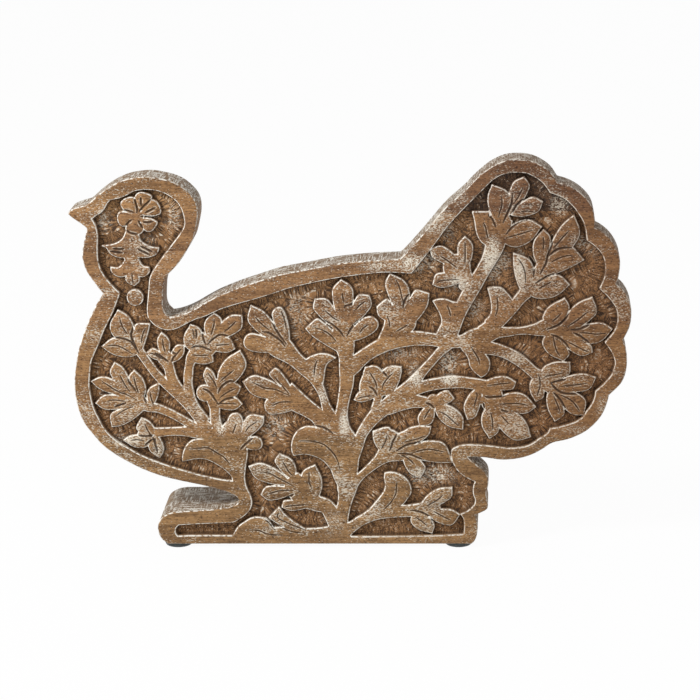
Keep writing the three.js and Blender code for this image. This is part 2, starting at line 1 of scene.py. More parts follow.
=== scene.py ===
import math
import bpy
import numpy as np
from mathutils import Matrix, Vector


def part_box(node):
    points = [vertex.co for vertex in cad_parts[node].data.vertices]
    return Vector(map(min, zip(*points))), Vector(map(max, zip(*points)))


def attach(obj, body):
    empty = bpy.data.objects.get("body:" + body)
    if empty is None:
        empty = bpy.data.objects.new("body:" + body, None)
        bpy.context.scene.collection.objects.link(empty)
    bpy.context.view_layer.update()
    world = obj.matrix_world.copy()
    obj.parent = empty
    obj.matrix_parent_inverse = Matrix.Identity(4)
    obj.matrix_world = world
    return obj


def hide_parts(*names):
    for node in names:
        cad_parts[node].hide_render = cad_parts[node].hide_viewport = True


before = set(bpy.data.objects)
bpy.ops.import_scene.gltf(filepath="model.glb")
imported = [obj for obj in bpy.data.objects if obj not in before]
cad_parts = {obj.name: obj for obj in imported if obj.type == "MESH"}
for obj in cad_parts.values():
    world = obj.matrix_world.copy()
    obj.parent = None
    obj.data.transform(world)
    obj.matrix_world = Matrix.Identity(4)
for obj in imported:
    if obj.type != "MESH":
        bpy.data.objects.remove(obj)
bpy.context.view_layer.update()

# ---------------------------------------------------------------- lower board
# The lowest of the five mango boards that are glued edge to edge, then sawn to a turkey's outline.
# Its face is carved in low relief: a border, a sunk ground and a leafy vine that stands up from it.
# The outlines and the carving run on over the boards above, so they are all written out here.
MM = 0.001
BOARD_NODES = ("lower_board", "middle_board", "upper_board", "head_board", "tail_board")
board_boxes = np.array([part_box(node_name) for node_name in BOARD_NODES])
WIDTH = board_boxes[:, 1, 0].max() - board_boxes[:, 0, 0].min()
HEIGHT = board_boxes[:, 1, 2].max()
(_, FACE_Y, UNDERSIDE), (_, BACK_Y, _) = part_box("lower_board")

# Places on the panel are pairs: thousandths of its width from the beak tip, and of its height.
WHOLE = 1000
UNDERSIDE_SHARE = 12

# The sawn outline, stretch by stretch
EDGE = [
    # top of the beak
    [0, 864, 3, 871, 13, 878, 24, 883, 35, 887],
    # crown and nape
    [35, 887, 46, 901, 57, 914, 71, 928, 86, 940, 104, 950, 123, 955, 143, 957, 163, 953, 183, 946, 200,
     935, 214, 919, 224, 902, 229, 884, 230, 864, 228, 842, 221, 802, 213, 782, 204, 761, 194, 741, 181,
     721, 171, 706, 166, 688, 164, 668, 163, 632, 167, 614, 175, 602],
    # back
    [175, 602, 190, 606, 206, 614, 222, 625, 240, 640, 260, 655, 280, 667, 300, 678, 330, 692, 370, 710,
     410, 721, 450, 732, 480, 739, 520, 745, 555, 748, 587, 750],
    # first feather, the tail's leading edge
    [587, 750, 596, 762, 606, 777, 618, 796, 640, 832, 660, 866, 675, 888, 690, 906, 705, 925, 717, 943,
     730, 960, 745, 977, 760, 989, 778, 998, 798, 1000, 815, 998, 829, 992, 841, 983, 851, 973, 859, 961,
     867, 943],
    # second feather
    [867, 943, 880, 938, 892, 931, 904, 921, 914, 909, 923, 895, 929, 879, 932, 862, 934, 845, 933, 829],
    # third feather
    [933, 829, 943, 822, 953, 812, 961, 801, 968, 788, 974, 772, 978, 755, 979, 738, 978, 720, 976, 702,
     972, 686],
    # fourth feather
    [972, 686, 981, 677, 989, 664, 995, 648, 999, 630, 1000, 610, 999, 592, 996, 574, 991, 559, 985, 543],
    # fifth feather
    [985, 543, 989, 530, 992, 512, 993, 492, 992, 470, 989, 452, 984, 436, 976, 422, 968, 411, 961, 402],
    # sixth feather
    [961, 402, 959, 388, 955, 370, 949, 352, 941, 336, 930, 320, 918, 307, 905, 297, 891, 289, 878, 284,
     866, 281],
    # underside of the tail
    [866, 281, 855, 275, 843, 263, 828, 251, 812, 242, 797, 237, 780, 234, 765, 234, 750, 237, 735, 240,
     706, 241],
    # back of the leg
    [706, 241, 716, 228, 727, 215, 736, 204, 742, 192, 744, 176, 743, 163, 740, 148, 741, 132, 743, 116,
     741, 104, 732, 96, 719, 88],
    # right end of the base
    [719, 88, 722, 76, 724, 62, 724, 48, 722, 32, 718, 19, 713, 12],
    # underside
    [713, 12, 160, 12],
    # foot, slit under the belly, and breast
    [160, 12, 152, 20, 146, 30, 143, 42, 142, 54, 144, 68, 149, 80, 157, 88, 167, 94, 180, 97, 200, 99, 225,
     101, 250, 104, 268, 108, 282, 114, 290, 121, 291, 128, 287, 136, 277, 145, 262, 153, 247, 159, 218,
     169, 182, 180, 150, 192, 117, 210, 90, 230, 67, 250, 47, 272, 31, 299, 14, 333, 4, 375, 0, 427, 5, 485,
     12, 528, 22, 568, 35, 608, 46, 638, 58, 662],
    # throat
    [58, 662, 52, 672, 44, 688, 36, 704, 30, 718, 26, 732, 23, 750, 23, 765, 26, 790, 30, 810, 33, 827],
    # underside of the beak
    [33, 827, 26, 836, 16, 846, 7, 855, 0, 864],
]

# The inner side of the border, where the ground starts, from the beak round by the tail
GROUND = [
    [42, 852, 51, 861, 59, 868, 65, 878, 69, 888, 75, 899],
    [75, 899, 92, 904, 106, 912, 116, 920, 128, 924, 143, 925, 160, 922, 175, 914, 188, 902, 197, 888, 203,
     870, 206, 850, 206, 836, 201, 820, 192, 803, 182, 785, 172, 767, 162, 748, 152, 729, 145, 713, 141,
     698, 139, 675, 137, 650, 135, 625, 136, 604, 141, 592, 148, 582, 158, 574, 168, 570, 180, 571, 192,
     577, 207, 588, 222, 598, 238, 605, 255, 616, 270, 625, 300, 638, 330, 650, 360, 663, 390, 677, 420,
     687, 460, 699, 500, 708, 540, 715, 570, 717, 607, 714],
    [607, 714, 616, 729, 635, 763, 650, 790, 670, 829, 690, 861, 710, 890, 730, 918, 750, 946, 757, 953,
     767, 961, 780, 966, 795, 968, 812, 966, 822, 960, 832, 952, 841, 942, 848, 930, 854, 917],
    [854, 917, 863, 913, 872, 908, 881, 901, 890, 890, 898, 878, 905, 864, 911, 851, 915, 838, 918, 820,
     920, 797],
    [920, 797, 929, 789, 938, 778, 946, 765, 951, 750, 953, 735, 953, 715, 950, 697, 943, 676],
    [943, 676, 950, 666, 958, 655, 966, 641, 972, 628, 975, 614, 976, 600, 975, 585, 971, 570, 964, 555,
     953, 538],
    [953, 538, 960, 525, 966, 512, 970, 498, 972, 485, 970, 470, 966, 455, 958, 440, 948, 425, 937, 412],
    [937, 412, 936, 400, 933, 386, 928, 373, 921, 360, 915, 346, 905, 335, 894, 328, 882, 323, 870, 318,
     855, 315],
    [855, 315, 852, 305, 845, 296, 836, 289, 829, 281, 820, 273, 810, 268, 798, 265, 785, 264, 770, 265,
     745, 270, 715, 273, 700, 272, 688, 268, 679, 261, 677, 250, 678, 235, 682, 220, 687, 208, 695, 196,
     706, 186, 720, 176],
    [720, 176, 717, 165, 716, 152, 717, 140, 720, 129, 719, 118, 714, 108, 705, 98, 693, 90],
    [693, 90, 698, 80, 700, 68, 700, 54, 699, 37],
    [699, 37, 640, 33, 500, 31, 235, 34, 178, 32],
    [178, 32, 174, 40, 174, 52, 180, 62],
    [180, 62, 215, 65, 250, 67, 278, 69, 290, 77, 301, 88, 309, 100, 313, 112, 314, 125, 312, 138, 308, 152,
     304, 166, 302, 185],
    [302, 185, 284, 178],
    [284, 178, 262, 181, 235, 189, 205, 200, 175, 213, 145, 228, 115, 246, 92, 265, 73, 282, 59, 300, 48,
     321, 40, 345, 33, 368, 29, 392, 26, 425],
    [26, 425, 28, 460, 31, 487, 37, 508, 46, 535, 54, 562, 63, 588, 72, 612, 79, 635, 87, 664],
    [87, 664, 77, 678, 63, 702, 54, 725, 50, 750, 50, 780, 51, 810, 48, 834, 42, 852],
]

# Pointed leaves: the tip, the widest place on either side, and the root
LEAVES = [
    # ornament in the head
    [113, 681, 98, 698, 123, 699, 110, 722],
    # breast, top spray
    [82, 621, 69, 562, 107, 588, 108, 535], [50, 526, 85, 549, 88, 500, 120, 512],
    [139, 585, 112, 580, 132, 550, 122, 512],
    # breast, bud under the neck
    [159, 563, 151, 535, 173, 535, 163, 498], [132, 511, 145, 521, 143, 495, 166, 490],
    [199, 529, 183, 526, 194, 500, 172, 485],
    # breast, spray under the back
    [211, 584, 200, 530, 231, 563, 228, 512], [254, 613, 236, 580, 267, 590, 248, 540],
    [304, 606, 277, 600, 298, 567, 246, 545], [290, 520, 275, 550, 268, 511, 232, 528],
    [251, 487, 245, 508, 225, 482, 203, 500],
    # breast, middle spray
    [73, 486, 66, 452, 92, 462, 105, 402], [29, 437, 60, 446, 55, 410, 118, 390],
    [36, 380, 60, 402, 60, 363, 120, 382], [108, 466, 98, 440, 127, 425, 118, 385],
    [64, 318, 66, 355, 95, 331, 130, 375], [151, 432, 130, 407, 149, 400, 138, 372],
    # breast, spray that climbs beside the trunk
    [299, 517, 262, 470, 307, 468, 262, 415], [299, 422, 280, 434, 284, 395, 252, 398],
    [301, 378, 281, 397, 280, 362, 245, 380], [238, 473, 233, 445, 252, 452, 254, 405],
    # breast, lowest spray and the bud on the left trunk
    [118, 342, 110, 310, 137, 325, 142, 298], [84, 283, 105, 297, 118, 264, 140, 290],
    [149, 237, 129, 267, 156, 268, 142, 300], [339, 345, 309, 344, 333, 318, 300, 285],
    # body, left of the trunk
    [320, 632, 318, 583, 353, 600, 372, 540], [302, 435, 330, 450, 330, 396, 390, 398],
    [309, 215, 340, 220, 330, 178, 388, 170], [366, 248, 358, 225, 392, 222, 390, 180],
    [330, 141, 345, 163, 350, 126, 395, 152], [430, 219, 405, 192, 441, 158, 418, 112],
    [368, 107, 374, 125, 392, 99, 430, 118], [363, 108, 343, 80, 383, 76, 430, 35],
    # body, crown of the trunk
    [482, 698, 466, 660, 503, 665, 487, 570], [435, 648, 434, 618, 460, 642, 485, 560],
    [417, 572, 440, 597, 437, 545, 495, 498], [532, 657, 510, 654, 533, 625, 492, 575],
    # body, under the back
    [569, 713, 562, 675, 602, 675, 592, 600], [545, 628, 565, 647, 552, 600, 580, 590],
    [639, 662, 612, 667, 629, 615, 585, 555],
    # body, small three-leaf spray
    [523, 474, 521, 447, 548, 468, 543, 410], [588, 474, 562, 469, 583, 445, 548, 408],
    [502, 388, 515, 410, 520, 384, 546, 402],
    # body, right of the trunk
    [620, 321, 619, 350, 643, 332, 642, 378], [698, 311, 692, 355, 660, 333, 648, 380],
    [535, 307, 566, 315, 542, 266, 562, 245], [641, 320, 592, 307, 630, 289, 580, 255],
    [679, 225, 655, 280, 628, 230, 585, 250], [620, 184, 628, 218, 597, 206, 590, 250],
    [678, 160, 640, 146, 672, 128, 618, 100], [692, 88, 670, 102, 672, 60, 630, 95],
    [641, 38, 604, 65, 643, 68, 612, 101],
    # tail, small spray at the leading edge
    [641, 776, 668, 778, 649, 750, 698, 728], [703, 807, 690, 775, 717, 778, 703, 720],
    [645, 684, 655, 713, 668, 678, 705, 700],
    # tail, top spray
    [751, 937, 745, 882, 784, 905, 768, 830], [808, 956, 786, 933, 817, 928, 782, 860],
    [841, 894, 818, 903, 828, 865, 785, 860], [840, 831, 805, 847, 800, 781, 765, 800],
    # tail, upper spray
    [789, 765, 795, 695, 824, 732, 812, 655], [843, 824, 824, 780, 855, 797, 840, 722],
    [897, 861, 866, 815, 903, 798, 843, 730], [915, 747, 885, 783, 868, 714, 832, 698],
    [890, 684, 862, 709, 848, 649, 808, 668],
    # tail, middle spray
    [881, 651, 842, 603, 888, 618, 862, 568], [930, 653, 893, 623, 935, 606, 868, 560],
    [967, 571, 938, 587, 932, 534, 875, 560], [931, 511, 925, 532, 905, 505, 870, 552],
    [879, 488, 842, 530, 889, 512, 858, 570],
    # tail, lower spray
    [891, 486, 850, 479, 886, 452, 838, 450], [938, 447, 900, 454, 918, 412, 858, 425],
    [916, 349, 915, 395, 888, 358, 862, 415], [864, 332, 849, 385, 881, 358, 858, 420],
    [829, 384, 819, 428, 844, 400, 835, 455],
    # tail, lowest spray
    [794, 435, 765, 449, 785, 415, 730, 425], [830, 370, 795, 407, 803, 353, 752, 378],
    [821, 291, 799, 350, 783, 290, 748, 372], [746, 287, 732, 345, 764, 316, 757, 378],
    [706, 337, 703, 385, 722, 348, 733, 425],
]

# Leaves and ends with sides that curl, each drawn side by side
CURLS = [
    # in the head
    [[104, 832, 101, 818, 97, 806, 91, 796, 82, 789, 70, 785, 57, 783], [57, 783, 66, 777, 69, 768, 74, 761,
     81, 756, 89, 753, 98, 752], [98, 752, 124, 754], [124, 754, 134, 753, 144, 755, 152, 760, 157, 768,
     159, 778], [159, 778, 149, 779, 140, 783, 133, 788, 127, 796, 122, 805, 119, 815], [119, 815, 104,
     832]],
    [[104, 748, 98, 747, 92, 735, 83, 727, 72, 730], [72, 730, 73, 718, 80, 708, 89, 704, 97, 706, 106,
     712], [106, 712, 104, 748]],
    [[116, 750, 122, 749, 126, 739, 131, 731, 140, 729], [140, 729, 141, 718, 136, 709, 129, 704, 122, 706,
     112, 712], [112, 712, 116, 750]],
    # left trunk
    [[262, 292, 235, 288, 220, 287, 208, 283, 199, 272, 193, 257, 190, 241, 190, 228], [190, 228, 210, 234,
     228, 235, 244, 227, 262, 211, 275, 194, 284, 178, 294, 165]],
    [[430, 455, 413, 486, 420, 496, 430, 503, 443, 508, 457, 506, 471, 497], [471, 497, 462, 490, 455, 482,
     451, 468, 449, 448, 446, 425]],
    # beside the trunk
    [[475, 300, 440, 314, 427, 319, 414, 319, 402, 311, 393, 296, 388, 275, 388, 257, 391, 243], [391, 243,
     411, 247, 430, 241, 446, 228, 460, 203, 469, 176, 472, 145, 490, 140]],
    [[365, 24, 352, 55, 341, 75, 327, 81, 312, 79, 299, 68, 288, 56, 278, 33], [278, 33, 278, 24]],
    # right of the trunk's foot
    [[490, 50, 500, 76, 512, 86, 524, 98, 533, 111, 541, 125, 549, 139, 555, 153, 557, 168, 555, 183, 556,
     198], [556, 198, 568, 200, 580, 196, 591, 187, 599, 175, 603, 160, 603, 145, 597, 131, 588, 115, 560,
     85]],
    [[553, 463, 545, 474, 533, 476, 524, 464, 515, 440, 512, 415, 518, 402], [518, 402, 545, 398, 572, 402],
     [572, 402, 580, 425, 586, 448, 584, 466, 574, 474, 562, 472, 553, 463]],
    [[582, 300, 572, 309, 558, 314], [558, 314, 556, 285, 562, 256], [562, 256, 582, 250, 602, 262], [602,
     262, 612, 285, 606, 306], [606, 306, 592, 307, 582, 300]],
    [[645, 545, 656, 572, 661, 592, 656, 615, 645, 643], [645, 643, 657, 648, 670, 647, 681, 641, 697, 640],
     [697, 640, 692, 548]],
    [[690, 540, 697, 518, 704, 506, 709, 492, 711, 477, 718, 462, 731, 447], [731, 447, 739, 453, 745, 465,
     747, 480, 745, 495, 737, 512, 738, 535]],
    [[758, 575, 738, 590, 746, 604, 750, 622, 748, 650, 743, 676], [743, 676, 757, 678, 769, 675, 779, 661,
     787, 647, 795, 625]],
    # tail, beside its top spray
    [[756, 775, 737, 787, 728, 801, 723, 820, 720, 847, 716, 869], [716, 869, 732, 869, 750, 869]],
]

# Petals and blunt lobes, told like the leaves
LOBES = [
    # flower in the head
    [104, 903, 94, 883, 121, 898, 116, 862], [134, 917, 119, 904, 149, 905, 126, 868],
    [162, 884, 146, 897, 161, 862, 128, 864], [152, 827, 157, 843, 136, 821, 128, 852],
    [117, 811, 101, 828, 133, 827, 120, 850], [87, 850, 94, 869, 98, 832, 120, 855],
    # breast
    [219, 406, 234, 427, 234, 385, 252, 405], [288, 354, 273, 325, 301, 328, 287, 280],
    [335, 273, 322, 293, 322, 258, 298, 272],
    # body
    [371, 627, 358, 603, 385, 590, 386, 525], [306, 540, 325, 559, 322, 514, 380, 520],
    [361, 470, 351, 452, 377, 450, 392, 412], [341, 371, 353, 394, 356, 351, 410, 378],
    [545, 593, 518, 596, 538, 562, 492, 540], [673, 410, 652, 401, 682, 390, 640, 372],
]

# Stems: places along the middle, each with the stem's width there
STEMS = [
    # head
    [112, 822, 20, 111, 800, 30, 110, 775, 40, 109, 750, 24, 108, 735, 22, 110, 715, 26],
    # breast
    [293, 160, 18, 290, 190, 24, 288, 222, 34, 284, 250, 50, 272, 285, 58, 256, 310, 46],
    [114, 526, 18, 122, 507, 15, 135, 480, 15, 147, 456, 15, 164, 430, 16, 182, 406, 17, 200, 379, 16, 216,
     350, 16, 240, 310, 24],
    [165, 492, 22, 171, 470, 18, 175, 445, 19, 184, 422, 18, 202, 385, 20],
    [235, 530, 30, 214, 500, 22, 208, 480, 15, 205, 455, 16, 204, 430, 15, 207, 400, 16, 214, 370, 18, 232,
     330, 22],
    [245, 550, 30, 230, 522, 36],
    [112, 395, 20, 128, 374, 20, 150, 366, 15, 172, 353, 14, 192, 337, 14, 212, 320, 16, 240, 300, 20],
    [140, 303, 18, 165, 306, 15, 190, 307, 16, 215, 305, 22, 250, 298, 24],
    [254, 420, 20, 250, 395, 28, 251, 365, 18, 251, 340, 18, 255, 315, 18, 262, 290, 20],
    # trunk
    [470, 20, 50, 471, 60, 34, 479, 100, 24, 484, 130, 26, 488, 165, 36, 484, 200, 46, 481, 240, 58, 478,
     275, 60, 474, 310, 46, 478, 345, 24, 481, 370, 20, 485, 400, 21, 489, 430, 24, 490, 470, 27, 489, 500,
     26, 487, 530, 34, 487, 575, 30],
    [350, 538, 34, 372, 524, 42, 396, 495, 28, 415, 470, 26, 430, 446, 20, 441, 418, 15, 447, 395, 13, 452,
     370, 16, 462, 335, 26],
    [377, 405, 48, 399, 384, 38, 421, 363, 30, 438, 345, 30, 458, 316, 44],
    [385, 188, 30, 395, 165, 42, 410, 138, 44, 430, 119, 30, 450, 108, 27, 464, 75, 30, 472, 45, 30],
    [335, 30, 30, 380, 32, 34, 410, 32, 28, 440, 34, 28, 475, 36, 40],
    [492, 462, 26, 503, 480, 30, 514, 493, 26, 530, 510, 24, 555, 529, 26, 580, 541, 27, 610, 547, 26, 640,
     545, 23, 665, 539, 22, 692, 542, 22],
    [592, 612, 46, 583, 586, 50, 572, 562, 38, 556, 535, 24],
    [498, 235, 22, 507, 268, 20, 515, 298, 19, 527, 325, 21, 542, 350, 25, 562, 374, 27, 585, 400, 27, 605,
     425, 24, 622, 455, 17, 640, 484, 15, 655, 508, 15, 672, 532, 20],
    [548, 412, 16, 545, 390, 13, 540, 362, 16],
    [600, 412, 26, 630, 424, 21, 655, 431, 21, 680, 435, 22, 705, 433, 20, 728, 427, 22, 748, 412, 34, 754,
     390, 34],
    [560, 362, 20, 585, 379, 26, 606, 386, 26, 620, 384, 22, 635, 380, 20, 650, 372, 20],
    [672, 538, 22, 695, 539, 22, 718, 547, 32, 740, 556, 32, 760, 563, 22, 780, 564, 16, 805, 567, 13, 830,
     570, 22, 852, 574, 34, 875, 562, 34],
    [735, 560, 30, 755, 583, 26, 772, 605, 24, 788, 627, 20, 803, 652, 20, 818, 675, 26, 832, 702, 28, 842,
     730, 24, 850, 755, 20],
    [675, 540, 20, 684, 580, 22, 693, 615, 24, 706, 650, 25, 720, 685, 26, 734, 718, 24, 746, 748, 26, 755,
     778, 32, 760, 805, 36, 766, 830, 36, 775, 855, 28],
    [700, 738, 24, 700, 712, 28, 708, 690, 26],
    [738, 525, 26, 758, 519, 22, 778, 509, 21, 797, 494, 21, 813, 476, 20, 827, 458, 20, 843, 442, 30, 862,
     425, 34],
    [492, 163, 26, 510, 187, 14, 527, 208, 14, 545, 230, 20, 562, 250, 34, 582, 258, 40],
    [476, 42, 36, 495, 56, 20, 515, 74, 18, 540, 89, 20, 570, 97, 23, 600, 98, 22, 625, 101, 26],
]

# Round places, each with its radius: first the bead in the head, then the hearts of flowers and sprays
ROUNDS = [
    [114, 652, 14.5], [121, 857, 13], [121, 872, 7], [112, 530, 12], [164, 497, 14], [100, 399, 22],
    [238, 528, 20], [257, 415, 20], [124, 296, 14], [296, 288, 14], [366, 542, 22], [380, 402, 19],
    [395, 160, 22], [487, 562, 22], [593, 588, 22], [578, 624, 8], [548, 415, 10], [738, 527, 14],
    [645, 385, 12], [582, 254, 18], [632, 98, 12], [645, 102, 12], [688, 728, 24], [700, 681, 8],
    [764, 838, 22], [832, 692, 20], [870, 558, 22], [862, 430, 20], [751, 398, 18], [748, 380, 16],
    [733, 388, 8],
]

# Midribs cut in leaves, where they aren't simply half way between the edges
VEINS = [
    [85, 603, 88, 585, 93, 570, 99, 558], [62, 529, 75, 530, 86, 526, 107, 508],
    [131, 574, 127, 562, 124, 548, 123, 536], [161, 547, 162, 530, 165, 512],
    [215, 572, 217, 560, 217, 548], [254, 598, 254, 585, 251, 570, 248, 557],
    [293, 592, 287, 583, 279, 573, 271, 565], [280, 533, 268, 532, 256, 530],
    [213, 506, 226, 504, 243, 505], [82, 455, 86, 442, 91, 428, 99, 411],
    [50, 438, 60, 428, 70, 418, 82, 409, 92, 404, 112, 389], [58, 386, 68, 389, 80, 388, 92, 385],
    [74, 350, 82, 358, 91, 365, 104, 372], [107, 450, 109, 435, 112, 420, 115, 408],
    [135, 412, 137, 395, 141, 376], [124, 328, 128, 314, 133, 301, 138, 290], [98, 284, 110, 286, 122, 283],
    [287, 467, 278, 456, 270, 447, 262, 437], [240, 460, 246, 448, 252, 434, 256, 418],
    [290, 420, 280, 413, 270, 405, 261, 395], [289, 328, 286, 315, 282, 302],
    [327, 334, 319, 326, 311, 318, 305, 305],
    [204, 262, 222, 264, 236, 265, 246, 258, 256, 249, 265, 241, 271, 231, 276, 221],
    [328, 603, 334, 592, 343, 580, 352, 571], [374, 618, 378, 605, 381, 590, 383, 570],
    [437, 492, 434, 480, 432, 465, 431, 452],
    [320, 436, 328, 430, 337, 423, 347, 419, 360, 417, 372, 410, 386, 401],
    [360, 450, 366, 438, 374, 424, 386, 405], [355, 375, 363, 380, 373, 384, 392, 384],
    [404, 283, 420, 283, 432, 280, 446, 274, 457, 261, 466, 246, 472, 228, 475, 207],
    [330, 200, 345, 199, 352, 195, 364, 185, 377, 175, 392, 163], [371, 230, 377, 216, 382, 203, 389, 192],
    [419, 202, 419, 188, 419, 175, 424, 157], [343, 143, 352, 147, 362, 151, 375, 153, 390, 152],
    [350, 80, 355, 70, 362, 61, 370, 53, 382, 46, 396, 42, 411, 40],
    [303, 48, 322, 48, 330, 45, 338, 39, 350, 36, 368, 35], [453, 619, 460, 610, 468, 600, 477, 593],
    [430, 578, 447, 570, 457, 562, 465, 552, 472, 540], [484, 665, 485, 652, 487, 640],
    [525, 643, 515, 633, 508, 622], [530, 583, 521, 575, 514, 562],
    [580, 697, 585, 683, 588, 668, 590, 655, 592, 643], [563, 607, 567, 592, 568, 576],
    [600, 583, 590, 574, 580, 566], [530, 463, 535, 452, 540, 440, 543, 428, 544, 416],
    [573, 459, 566, 450, 559, 438, 555, 428, 553, 416], [561, 298, 559, 285, 555, 273, 550, 261],
    [630, 296, 618, 289, 605, 284, 592, 280], [665, 254, 650, 258, 638, 261, 625, 259, 605, 251],
    [610, 222, 603, 232, 595, 240, 587, 245], [690, 322, 680, 335, 672, 346, 664, 354, 654, 360],
    [640, 368, 634, 355, 628, 340], [578, 175, 577, 160, 576, 145, 571, 131],
    [571, 131, 565, 118, 553, 102], [662, 142, 655, 132, 648, 125, 638, 117, 632, 112],
    [675, 75, 664, 82, 654, 90, 644, 98], [612, 82, 622, 72, 632, 60],
    [722, 410, 724, 400, 721, 385, 718, 368], [748, 356, 751, 342, 752, 325, 752, 312],
    [767, 349, 771, 343, 776, 335, 781, 328], [713, 527, 718, 516, 723, 505, 727, 494, 729, 480],
    [760, 656, 761, 640, 761, 622, 757, 606], [671, 633, 675, 618, 677, 606],
    [659, 758, 668, 750, 678, 740, 689, 727], [736, 842, 740, 830, 742, 815, 744, 803],
    [768, 910, 769, 895, 768, 880, 765, 868, 763, 856], [806, 930, 801, 915, 796, 902, 789, 890],
    [826, 868, 815, 871, 803, 870], [797, 752, 805, 736, 810, 715, 811, 690],
    [842, 806, 843, 790, 842, 772], [888, 822, 877, 805, 868, 790, 860, 777],
    [893, 760, 880, 757, 868, 751, 856, 742], [857, 693, 846, 684, 834, 674],
    [875, 613, 868, 602, 859, 591], [922, 616, 912, 604, 900, 591, 887, 580],
    [955, 562, 940, 559, 925, 561, 908, 564], [834, 456, 837, 440, 837, 425, 834, 410, 832, 400],
    [880, 460, 865, 455, 852, 452, 845, 449], [921, 433, 905, 429, 890, 427, 874, 425],
    [908, 362, 903, 373, 896, 385, 887, 394, 875, 402], [862, 399, 866, 386, 870, 373, 873, 360],
]

# Cuts that part one leaf from the next, and the flower's petals, where no ground lies between them
PARTINGS = [
    [118, 905, 121, 890, 123, 876, 122, 868], [147, 900, 140, 890, 133, 881, 126, 869],
    [97, 873, 106, 872, 116, 868], [157, 856, 147, 857, 136, 857, 129, 857],
    [103, 823, 108, 817, 115, 814, 122, 813], [101, 832, 106, 842, 112, 849],
    [131, 829, 128, 838, 124, 847], [130, 905, 130, 896, 130, 886], [150, 845, 141, 843, 133, 844],
    [155, 880, 146, 873, 137, 867], [73, 770, 83, 768, 94, 766], [78, 777, 89, 775, 97, 777],
    [122, 776, 130, 770, 137, 765, 143, 760], [127, 783, 137, 776, 147, 769],
    [68, 551, 80, 550, 92, 547, 102, 541, 108, 532, 113, 520],
    [109, 580, 107, 568, 105, 556, 107, 544, 111, 532, 114, 520, 118, 509],
    [147, 511, 155, 504, 163, 496, 170, 488], [176, 515, 180, 510, 184, 510],
    [184, 505, 179, 498, 176, 488], [221, 571, 222, 560, 221, 549],
    [232, 568, 233, 555, 235, 543, 238, 533], [282, 551, 273, 556, 263, 557, 255, 550, 248, 542, 241, 532],
    [212, 524, 222, 528, 236, 524, 247, 517], [97, 444, 100, 432, 106, 421, 110, 412],
    [45, 402, 54, 405, 64, 404], [71, 371, 80, 376, 91, 381], [126, 408, 125, 397, 128, 382],
    [139, 290, 142, 275, 146, 258], [124, 272, 130, 279, 137, 287], [113, 297, 125, 295, 140, 296],
    [288, 438, 279, 438, 270, 431, 263, 421, 258, 408], [289, 396, 277, 393, 268, 389, 258, 378],
    [231, 419, 240, 413, 246, 404, 251, 393, 257, 380], [296, 261, 302, 270, 309, 279, 318, 290],
    [340, 566, 352, 562, 363, 552, 373, 541, 380, 528],
    [357, 603, 359, 588, 364, 572, 370, 557, 376, 546, 382, 534],
    [430, 323, 441, 320, 450, 316, 458, 308, 463, 302], [375, 133, 382, 136, 390, 143],
    [338, 76, 345, 67, 350, 58, 355, 49], [445, 597, 457, 590, 467, 582, 475, 572, 481, 563, 485, 554],
    [504, 640, 498, 634, 491, 632, 487, 627], [521, 598, 511, 592, 503, 581, 497, 569, 491, 554],
    [604, 663, 598, 652, 594, 640, 592, 627], [554, 464, 558, 457, 563, 450],
    [530, 424, 536, 419, 541, 410, 544, 400], [578, 300, 575, 290, 571, 280, 569, 268, 565, 257],
    [632, 283, 615, 278, 600, 274, 588, 266, 578, 257], [628, 231, 615, 240, 603, 247, 592, 249, 580, 250],
    [632, 382, 640, 377, 646, 369], [602, 101, 612, 99, 622, 95, 634, 86, 641, 76, 641, 64],
    [738, 399, 744, 396, 755, 397, 768, 398, 775, 400], [735, 380, 736, 371, 734, 362],
    [767, 364, 774, 360, 779, 359], [787, 916, 787, 900, 785, 885, 780, 870, 775, 855, 771, 842],
    [813, 903, 803, 897, 796, 888, 791, 878, 788, 866], [745, 862, 751, 852, 755, 842, 758, 831],
    [827, 849, 812, 849, 800, 844, 790, 834, 783, 824, 777, 814], [818, 753, 824, 738, 826, 722, 825, 705],
    [859, 806, 858, 790, 854, 772, 850, 757, 848, 742, 843, 728, 837, 713],
    [893, 779, 880, 779, 868, 775, 860, 768, 852, 759], [872, 712, 860, 711, 848, 705, 838, 697, 829, 689],
    [888, 613, 884, 602, 878, 592, 870, 583, 861, 577, 850, 572],
    [928, 591, 922, 582, 914, 576, 905, 571, 892, 570], [897, 563, 908, 555, 917, 546, 925, 537],
    [889, 522, 884, 534, 876, 545, 867, 553, 857, 558], [883, 443, 875, 440, 866, 437, 857, 434],
    [911, 405, 896, 405, 880, 407, 869, 414, 862, 424, 856, 434],
    [884, 363, 880, 375, 875, 388, 869, 398, 862, 408],
]

